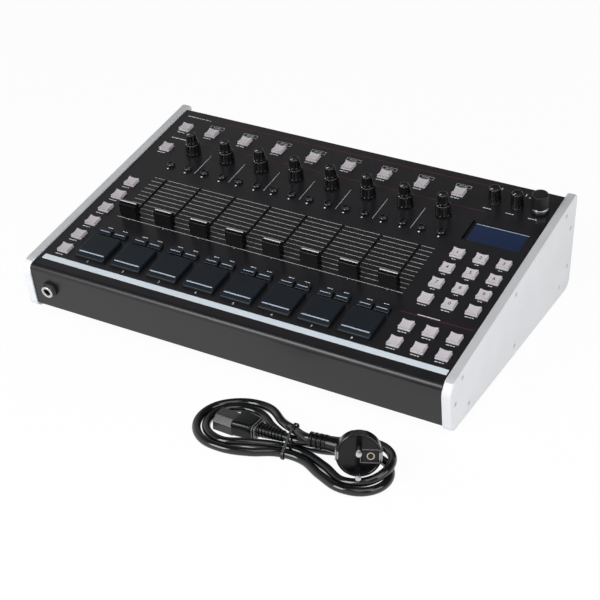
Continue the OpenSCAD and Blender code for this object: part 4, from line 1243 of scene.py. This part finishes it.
class DM_OT_rear_sockets(bpy.types.Operator):
    """Makes the row of output jacks and the three five-pin sockets in the rear wall"""

    bl_idname = "dm.rear_sockets"
    bl_label = "Rear sockets"

    def execute(self, context):
        looks = finishes(context.scene)
        jacks, rounds = REAR_JACKS, FIVE_PINS
        housing = socket_body(JACK_SIDE, JACK_BACK, JACK_BORE, JACK_END)
        washer = lathe([(6.9, 0), (6.9, 0.35), (6.7, 0.5), (5.2, 0.5)], 48, capped=False)
        nut = lathe([(5.8, 0.3), (5.8, 2.6), (5.45, 3.0), (4.7, 3.0)], 6, capped=False)
        neck = lathe([(4.7, 2.2), (4.7, 3.6), (4.5, 3.8), (3.5, 3.8), (JACK_BORE, 3.5),
                      (JACK_BORE, JACK_END)], 48, capped=False)
        # painted shade: a dark disc closes each jack bore at its end
        end = lathe([(JACK_BORE, JACK_END), (0, JACK_END - 0.02)], 48)
        body = socket_body(ROUND_SIDE, ROUND_BACK, ROUND_BORE, ROUND_END)
        flange = lathe([(8.6, -1.6), (8.6, 0.35), (8.45, 0.5), (8.1, 0.5), (8.0, 0.4)], 56,
                       capped=False)
        shield = lathe([(8.0, 0.4), (7.95, 0.6), (7.7, 0.6), (ROUND_BORE, 0.5),
                        (ROUND_BORE, ROUND_END)], 56, capped=False)
        # painted shade: a dark floor closes each five-pin well
        well = lathe([(ROUND_BORE, ROUND_END), (0, ROUND_END - 0.02)], 56)
        holes = [(x + 5 * math.sin(a), 5 * math.cos(a), ROUND_END + 0.02)
                 for x, _, _ in rounds for a in (math.radians(v) for v in (-90, -45, 0, 45, 90))]
        contact = lathe([(0.8, 0), (0.75, 0.1), (0.55, 0.1), (0.5, -0.6)], 16, capped=False)
        # painted shade: dark discs in the contacts' holes
        eye = lathe([(0.5, -0.5), (0, -0.52)], 16)
        materials = [looks["black"], looks["nickel"], looks["dark"]]
        parts = [(housing, jacks, 0), (washer, jacks, 1), (nut, jacks, 1), (neck, jacks, 1),
                 (end, jacks, 2), (body, rounds, 0), (flange, rounds, 0), (shield, rounds, 1),
                 (well, rounds, 2), (contact, holes, 1), (eye, holes, 2)]
        shape = joined(*[painted(copies(part, spots, materials[index]), index)
                         for part, spots, index in parts])
        turn = Matrix.Translation((0, REAR_Y, SOCKET_Z)) @ Matrix.Rotation(-math.pi / 2, 4, "X")
        piece("rear_socket_row", moved(shape, matrix=turn), materials, "case",
              ["rear_sockets"], at=PLAIN, smooth=35)
        marks = []
        for x, _, _ in jacks:
            marks += label(x, -11.5, 9, broken=(0.55, 0.45))
        for x, _, _ in rounds:
            marks += label(x, -13.5, 11, broken=(0.6, 0.4))
        marks += [(80, -15.5, 192, 0.4), (-66, -17.5, 66, 0.4)]
        piece("rear_marks", moved(bars(marks, looks["white"]), matrix=turn), looks["white"],
              at=PLAIN, even=False)
        return {"FINISHED"}


# ---------- mains lead ----------
def lead_line(steps=6):
    """Points of the lead's centreline: a smooth curve that turns like a circle at each point."""
    route = [Vector(p) for p in ROUTE]
    ways = [(route[0] - RELIEF_A).normalized()]
    for a, b, c in zip(route, route[1:], route[2:]):
        into, out = b - a, c - b
        ways.append((into / into.length_squared + out / out.length_squared).normalized())
    ways.append((RELIEF_B - route[-1]).normalized())
    points = []
    for k in range(len(route) - 1):
        reach = (route[k + 1] - route[k]).length * 1.04
        for j in range(steps):
            t = j / steps
            points.append(
                route[k] * (2 * t**3 - 3 * t**2 + 1) + ways[k] * reach * (t**3 - 2 * t**2 + t)
                + route[k + 1] * (3 * t**2 - 2 * t**3) + ways[k + 1] * reach * (t**3 - t**2)
            )
    points.append(route[-1])
    return points


def aimed(start, direction):
    """Matrix that puts +Z on direction, at start."""
    turn = Vector(direction).to_track_quat("Z", "Y").to_matrix().to_4x4()
    return Matrix.Translation(start) @ turn


def relief(length, wide, narrow, count, material, deep=0.9):
    """Tapered strain relief: a core with ribs set on it by geometry nodes."""
    core = lathe([(wide - deep, 0), (max(narrow - deep, 3.5), length)], 32)
    rib = soften(lathe([(1, 0), (1, 1)], 32), 0.12, 2)
    pitch = length / (count - 0.35)
    sizes = []
    for k in range(count):
        r = wide + (narrow - wide) * (k + 0.3) / count
        sizes.append((r, r, pitch * 0.62))
    ribs = copies(rib, [(0, 0, pitch * k) for k in range(count)], material, sizes=sizes)
    return joined(core, ribs)


class DM_OT_lead(bpy.types.Operator):
    """Makes the mains lead with its connector, plug and tie"""

    bl_idname = "dm.lead"
    bl_label = "Mains lead"

    def execute(self, context):
        looks = finishes(context.scene)
        lead = context.scene.dm_lead
        line = lead_line()
        curve = bpy.data.curves.new("mains_lead", "CURVE")
        curve.dimensions = "3D"
        curve.bevel_depth = lead.diameter / 2
        curve.bevel_resolution = 6
        curve.use_fill_caps = True
        spline = curve.splines.new("POLY")
        spline.points.add(len(line) - 1)
        for point, place in zip(spline.points, line):
            point.co = (*(place * MM), 1)
        curve.materials.append(looks["sheath"])
        cable = link(bpy.data.objects.new("mains_lead", curve))
        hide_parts("mains_cord")
        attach(cable, "case")
        connector = self.connector(looks, lead)
        plug = self.plug(looks, lead)
        tie = self.tie(looks, lead)
        return {"FINISHED"}

    def connector(self, looks, lead):
        """The moulded inlet connector that lies flat on the floor."""
        wide, high, nose, body, slant = 19.0, 12.3, 17.3, 18.5, 4.8
        outline = [(-wide / 2, 0), (wide / 2, 0), (wide / 2, high - slant),
                   (wide / 2 - slant, high), (slant - wide / 2, high), (-wide / 2, high - slant)]
        front = soften(prism(outline, -body - nose, -body + 1), 0.5, 2)
        levels = [(-body, wide / 2 + 0.7, high + 1.2), (-body + 2, wide / 2 + 0.9, high + 1.5),
                  (-10, wide / 2 - 0.2, high + 1.4), (-4, 8.6, high + 1.2), (-1.2, 8.2, high + 0.7),
                  (0, 7.4, high)]
        rings = []
        for x, half, top in levels:
            rings.append([Vector((x, p.x, p.y + top / 2))
                          for p in rounded_ring(2 * half, top, 3.2, 0, 5)])
        grip = loft(rings)
        bmesh.ops.recalc_face_normals(grip, faces=grip.faces)
        # the nose takes the lighter grey, painted light
        shape = joined(painted(front, 2), painted(grip, 0))
        # painted highlight: two thin collars in pale grey round the grip
        for x, half, top in ((-1.5, 8.45, high + 0.95), (0.0, 7.5, high + 0.1)):
            line = rounded_ring(2 * half, top, 3.2, 0, 5)
            collar = loft([[Vector((at, p.x, p.y + top / 2)) for p in line]
                           for at in (x, x + 0.45)])
            bmesh.ops.recalc_face_normals(collar, faces=collar.faces)
            shape = joined(shape, painted(collar, 3))
        # painted shade: dark blocks on the nose's face stand for its contact holes
        slots = [block(0, y, z - 1.1, 0.6, 4.2, 2.2) for y, z in ((-6, 5), (6, 5), (0, 8.4))]
        slots = [painted(moved(s, -body - nose - 0.02), 1) for s in slots]
        shape = joined(shape, *slots)
        moved(shape, matrix=Matrix.Translation((RELIEF_A.x, RELIEF_A.y, 0.3)) @ CONN_TURN)
        start = Vector(ROUTE[0])
        way = (start - RELIEF_A).normalized()
        sleeve = relief((start - RELIEF_A).length + 1.5, 6.0, lead.diameter / MM / 2 + 0.9,
                        lead.ribs, looks["moulding"])
        moved(sleeve, matrix=aimed(RELIEF_A - way * 1.5, way))
        shape = joined(shape, painted(sleeve, 0))
        return piece("lead_connector", shape,
                     [looks["moulding"], looks["dark"], looks["nose"], looks["highlight_lip"]], "case",
                     ["iec_connector"], at=PLAIN)

    def plug(self, looks, lead):
        """The round mains plug that leans on the lead."""
        disc = lathe([(16.4, -10), (17.1, -9.6), (17.3, -9), (17.3, -1.3), (17.1, -0.5),
                      (16.5, 0), (15.6, 0.02), (15.2, -0.25), (0, -0.25)], 96)
        rear = lathe([(9.5, -20.5), (12.4, -19.5), (13.4, -18), (16.3, -10.5), (16.4, -9.8)], 64)
        flat_top, pin_at, clip_at = 16.3, 9.5, 17.0
        for vert in disc.verts:
            vert.co.y = min(vert.co.y, flat_top)
        socket = lathe([(3.0, -0.3), (3.0, 0.05), (2.6, 0.12), (2.1, 0.0)], 32, capped=False)
        # painted shade: a dark disc for the hole in the earth socket
        hole = lathe([(2.1, -0.2), (0, -0.22)], 32)
        # painted highlight: pale lips round the recess in the plug's face
        recess_highlight_lips = [block(8.4, y, -0.3, 14.6, 0.5, 0.42) for y in (-5.2, 5.2)]
        recess_highlight_lips += [block(x, 0, -0.3, 0.5, 10.8, 0.42) for x in (1.3, 15.5)]
        shape = joined(painted(disc, 0), painted(rear, 0), painted(moved(socket, 8.8), 2),
                       painted(moved(hole, 8.8), 3), *[painted(s, 4) for s in recess_highlight_lips])
        for side in (-1, 1):
            pin = lathe([(2.4, -1), (2.4, 15.4)], 28, capped=False)
            tip = lathe([(2.4, 15.4), (2.4, 18.0), (2.1, 18.7), (1.5, 19.0), (0, 19.05)], 28)
            clip = soften(block(0, 0, -10.5, 1.2, 8, 10.7), 0.3, 2)
            fold = soften(block(0, 0, -0.3, 1.3, 6, 0.6), 0.2, 2)
            shape = joined(
                shape, painted(moved(pin, 0, side * pin_at), 0),
                painted(moved(tip, 0, side * pin_at), 1),
                painted(moved(clip, side * clip_at), 5),
                painted(moved(fold, side * (clip_at - 1.4)), 5))
        moved(shape, matrix=Matrix.Translation(PLUG_AT) @ PLUG_TURN)
        start = Vector(ROUTE[-1])
        way = (RELIEF_B - start).normalized()
        sleeve = relief(14, lead.diameter / MM / 2 + 2.0, lead.diameter / MM / 2 + 2.6, 4,
                        looks["moulding"], 1.5)
        neck = lathe([(4.6, 13), (5.6, 14), (6.2, 20), (6.9, 26), (7.6, 31)], 40)
        sleeve = moved(joined(sleeve, neck), matrix=aimed(start, way))
        shape = joined(shape, painted(sleeve, 0))
        return piece("lead_plug", shape,
                     [looks["moulding"], looks["nickel"], looks["brass"], looks["dark"],
                      looks["highlight_lip"], looks["zinc"]], "case", ["mains_plug"], at=PLAIN)

    def tie(self, looks, lead):
        """The band round the strands of the bundle."""
        reach = lead.diameter / MM / 2
        outer, inner = band_loop(reach + 0.75), band_loop(reach)
        half = 1.05
        rings = []
        for x, line in ((-half, inner), (-half, outer), (half, outer), (half, inner),
                        (-half, inner)):
            rings.append([Vector((x, p.x, p.y)) for p in line])
        shape = loft(rings, capped=False)
        bmesh.ops.remove_doubles(shape, verts=shape.verts, dist=1e-4)
        bmesh.ops.recalc_face_normals(shape, faces=shape.faces)
        soften(shape, 0.2, 2, angle=50)
        return piece("lead_tie", moved(shape, TIE_X), looks["black"], "case", ["cord_tie"],
                     at=PLAIN)


def band_loop(grow, steps=72):
    """Outline round the tied strands, in (y, z), kept above the floor."""
    points = []
    for k in range(steps):
        a = math.tau * k / steps
        way = Vector((math.cos(a), math.sin(a)))
        far = max(TIE_STRANDS, key=lambda s: Vector(s[:2]).dot(way) + s[2])
        points.append(Vector(far[:2]) + way * (far[2] + grow))
    for p in points:
        p.y = max(p.y, 0.05)
    return points


# ---------- stage ----------
class DM_OT_stage(bpy.types.Operator):
    """Sets the camera, the pale floor and the soft light"""

    bl_idname = "dm.stage"
    bl_label = "Camera, floor and light"

    def execute(self, context):
        scene = context.scene
        settings = scene.dm_stage
        lens = bpy.data.cameras.new("camera")
        lens.sensor_width = 36
        lens.lens = settings.lens
        lens.clip_end = 20
        camera = link(bpy.data.objects.new("camera", lens))
        ahead = CAMERA_AHEAD.normalized()
        up = CAMERA_RIGHT.cross(ahead).normalized()
        right = ahead.cross(up)
        turn = Matrix((right, up, -ahead)).transposed()
        camera.matrix_world = Matrix.Translation(CAMERA_AT) @ turn.to_4x4()
        scene.camera = camera
        self.floor(settings)
        self.world(scene)
        for name, place, wide, high, share in SOFT_BOXES:
            lamp = bpy.data.lights.new(name, "AREA")
            lamp.shape = "RECTANGLE"
            lamp.size, lamp.size_y = wide, high
            lamp.energy = settings.lamp * share
            thing = link(bpy.data.objects.new(name, lamp))
            way = LAMPS_AIM - Vector(place)
            thing.matrix_world = (Matrix.Translation(place)
                                  @ way.to_track_quat("-Z", "Y").to_matrix().to_4x4())
        scene.view_settings.view_transform = "Standard"
        return {"FINISHED"}

    def floor(self, settings):
        """A pale floor that takes shadows and looks white to the camera and in reflections."""
        mesh = bpy.data.meshes.new("floor")
        shape = bmesh.new()
        bmesh.ops.create_grid(shape, x_segments=4, y_segments=4, size=6)
        shape.to_mesh(mesh)
        shape.free()
        made = bpy.data.materials.new("Pale floor")
        made.use_nodes = True
        tree = made.node_tree
        tree.nodes.clear()
        matt = add(tree, "ShaderNodeBsdfDiffuse", in_Color=rgba(settings.floor))
        glow = add(tree, "ShaderNodeEmission", in_Color=(1, 1, 1, 1), in_Strength=1.0)
        mix = add(tree, "ShaderNodeMixShader")
        path = add(tree, "ShaderNodeLightPath")
        seen = add(tree, "ShaderNodeMath", operation="MAXIMUM")
        share = add(tree, "ShaderNodeMath", operation="MULTIPLY")
        share.inputs[1].default_value = 0.95
        out = add(tree, "ShaderNodeOutputMaterial")
        tree.links.new(path.outputs["Is Camera Ray"], seen.inputs[0])
        tree.links.new(path.outputs["Is Glossy Ray"], seen.inputs[1])
        tree.links.new(seen.outputs[0], share.inputs[0])
        tree.links.new(share.outputs[0], mix.inputs["Fac"])
        tree.links.new(matt.outputs[0], mix.inputs[1])
        tree.links.new(glow.outputs[0], mix.inputs[2])
        tree.links.new(mix.outputs[0], out.inputs["Surface"])
        mesh.materials.append(made)
        link(bpy.data.objects.new("floor", mesh))

    def world(self, scene):
        """White to the camera; to everything else pale low down and at the left, dim overhead."""
        world = bpy.data.worlds.new("studio")
        scene.world = world
        world.use_nodes = True
        tree = world.node_tree
        tree.nodes.clear()
        where = add(tree, "ShaderNodeTexCoord")
        split = add(tree, "ShaderNodeSeparateXYZ")
        lean = add(tree, "ShaderNodeMath", operation="MULTIPLY_ADD")
        lean.inputs[1].default_value = 0.3
        fade = add(tree, "ShaderNodeMapRange", in_From_Min=0.0, in_From_Max=0.67, in_To_Min=1.0,
                   in_To_Max=0.05)
        path = add(tree, "ShaderNodeLightPath")
        pick = add(tree, "ShaderNodeMix", data_type="FLOAT")
        pick.inputs[3].default_value = 1.0
        back = add(tree, "ShaderNodeBackground", in_Color=(1, 1, 1, 1))
        out = add(tree, "ShaderNodeOutputWorld")
        tree.links.new(where.outputs["Generated"], split.inputs[0])
        tree.links.new(split.outputs["X"], lean.inputs[0])
        tree.links.new(split.outputs["Z"], lean.inputs[2])
        tree.links.new(lean.outputs[0], fade.inputs["Value"])
        tree.links.new(path.outputs["Is Camera Ray"], pick.inputs[0])
        tree.links.new(fade.outputs["Result"], pick.inputs[2])
        tree.links.new(pick.outputs[0], back.inputs["Strength"])
        tree.links.new(back.outputs[0], out.inputs["Surface"])


OPERATORS = [
    DM_OT_stage, DM_OT_lead, DM_OT_case, DM_OT_cheeks, DM_OT_cheek_screws, DM_OT_print,
    DM_OT_mode_keys, DM_OT_keypad, DM_OT_pad_buttons, DM_OT_pads, DM_OT_round_buttons,
    DM_OT_faders, DM_OT_dual_knobs, DM_OT_single_knobs, DM_OT_display, DM_OT_headphone_jack,
    DM_OT_rear_sockets,
]


class DM_PT_panel(bpy.types.Panel):
    """Lists the pieces of the drum machine and their settings"""

    bl_idname = "DM_PT_panel"
    bl_label = "Drum machine"
    bl_space_type = "VIEW_3D"
    bl_region_type = "UI"
    bl_category = "Drum machine"

    def draw(self, context):
        for operator in OPERATORS:
            self.layout.operator(operator.bl_idname)
        for name, kind in SETTINGS.items():
            box = self.layout.box()
            for prop in kind.__annotations__:
                box.prop(getattr(context.scene, name), prop)


def register():
    """Adds the settings, the operators and the panel."""
    for kind in (*SETTINGS.values(), *OPERATORS, DM_PT_panel):
        bpy.utils.register_class(kind)
    for name, kind in SETTINGS.items():
        setattr(bpy.types.Scene, name, PointerProperty(type=kind))


def unregister():
    """Takes them out again."""
    for name in SETTINGS:
        delattr(bpy.types.Scene, name)
    for kind in reversed((*SETTINGS.values(), *OPERATORS, DM_PT_panel)):
        bpy.utils.unregister_class(kind)


def main():
    """Builds every piece in order."""
    register()
    for operator in OPERATORS:
        family, name = operator.bl_idname.split(".")
        getattr(getattr(bpy.ops, family), name)()


if __name__ == "__main__":
    main()
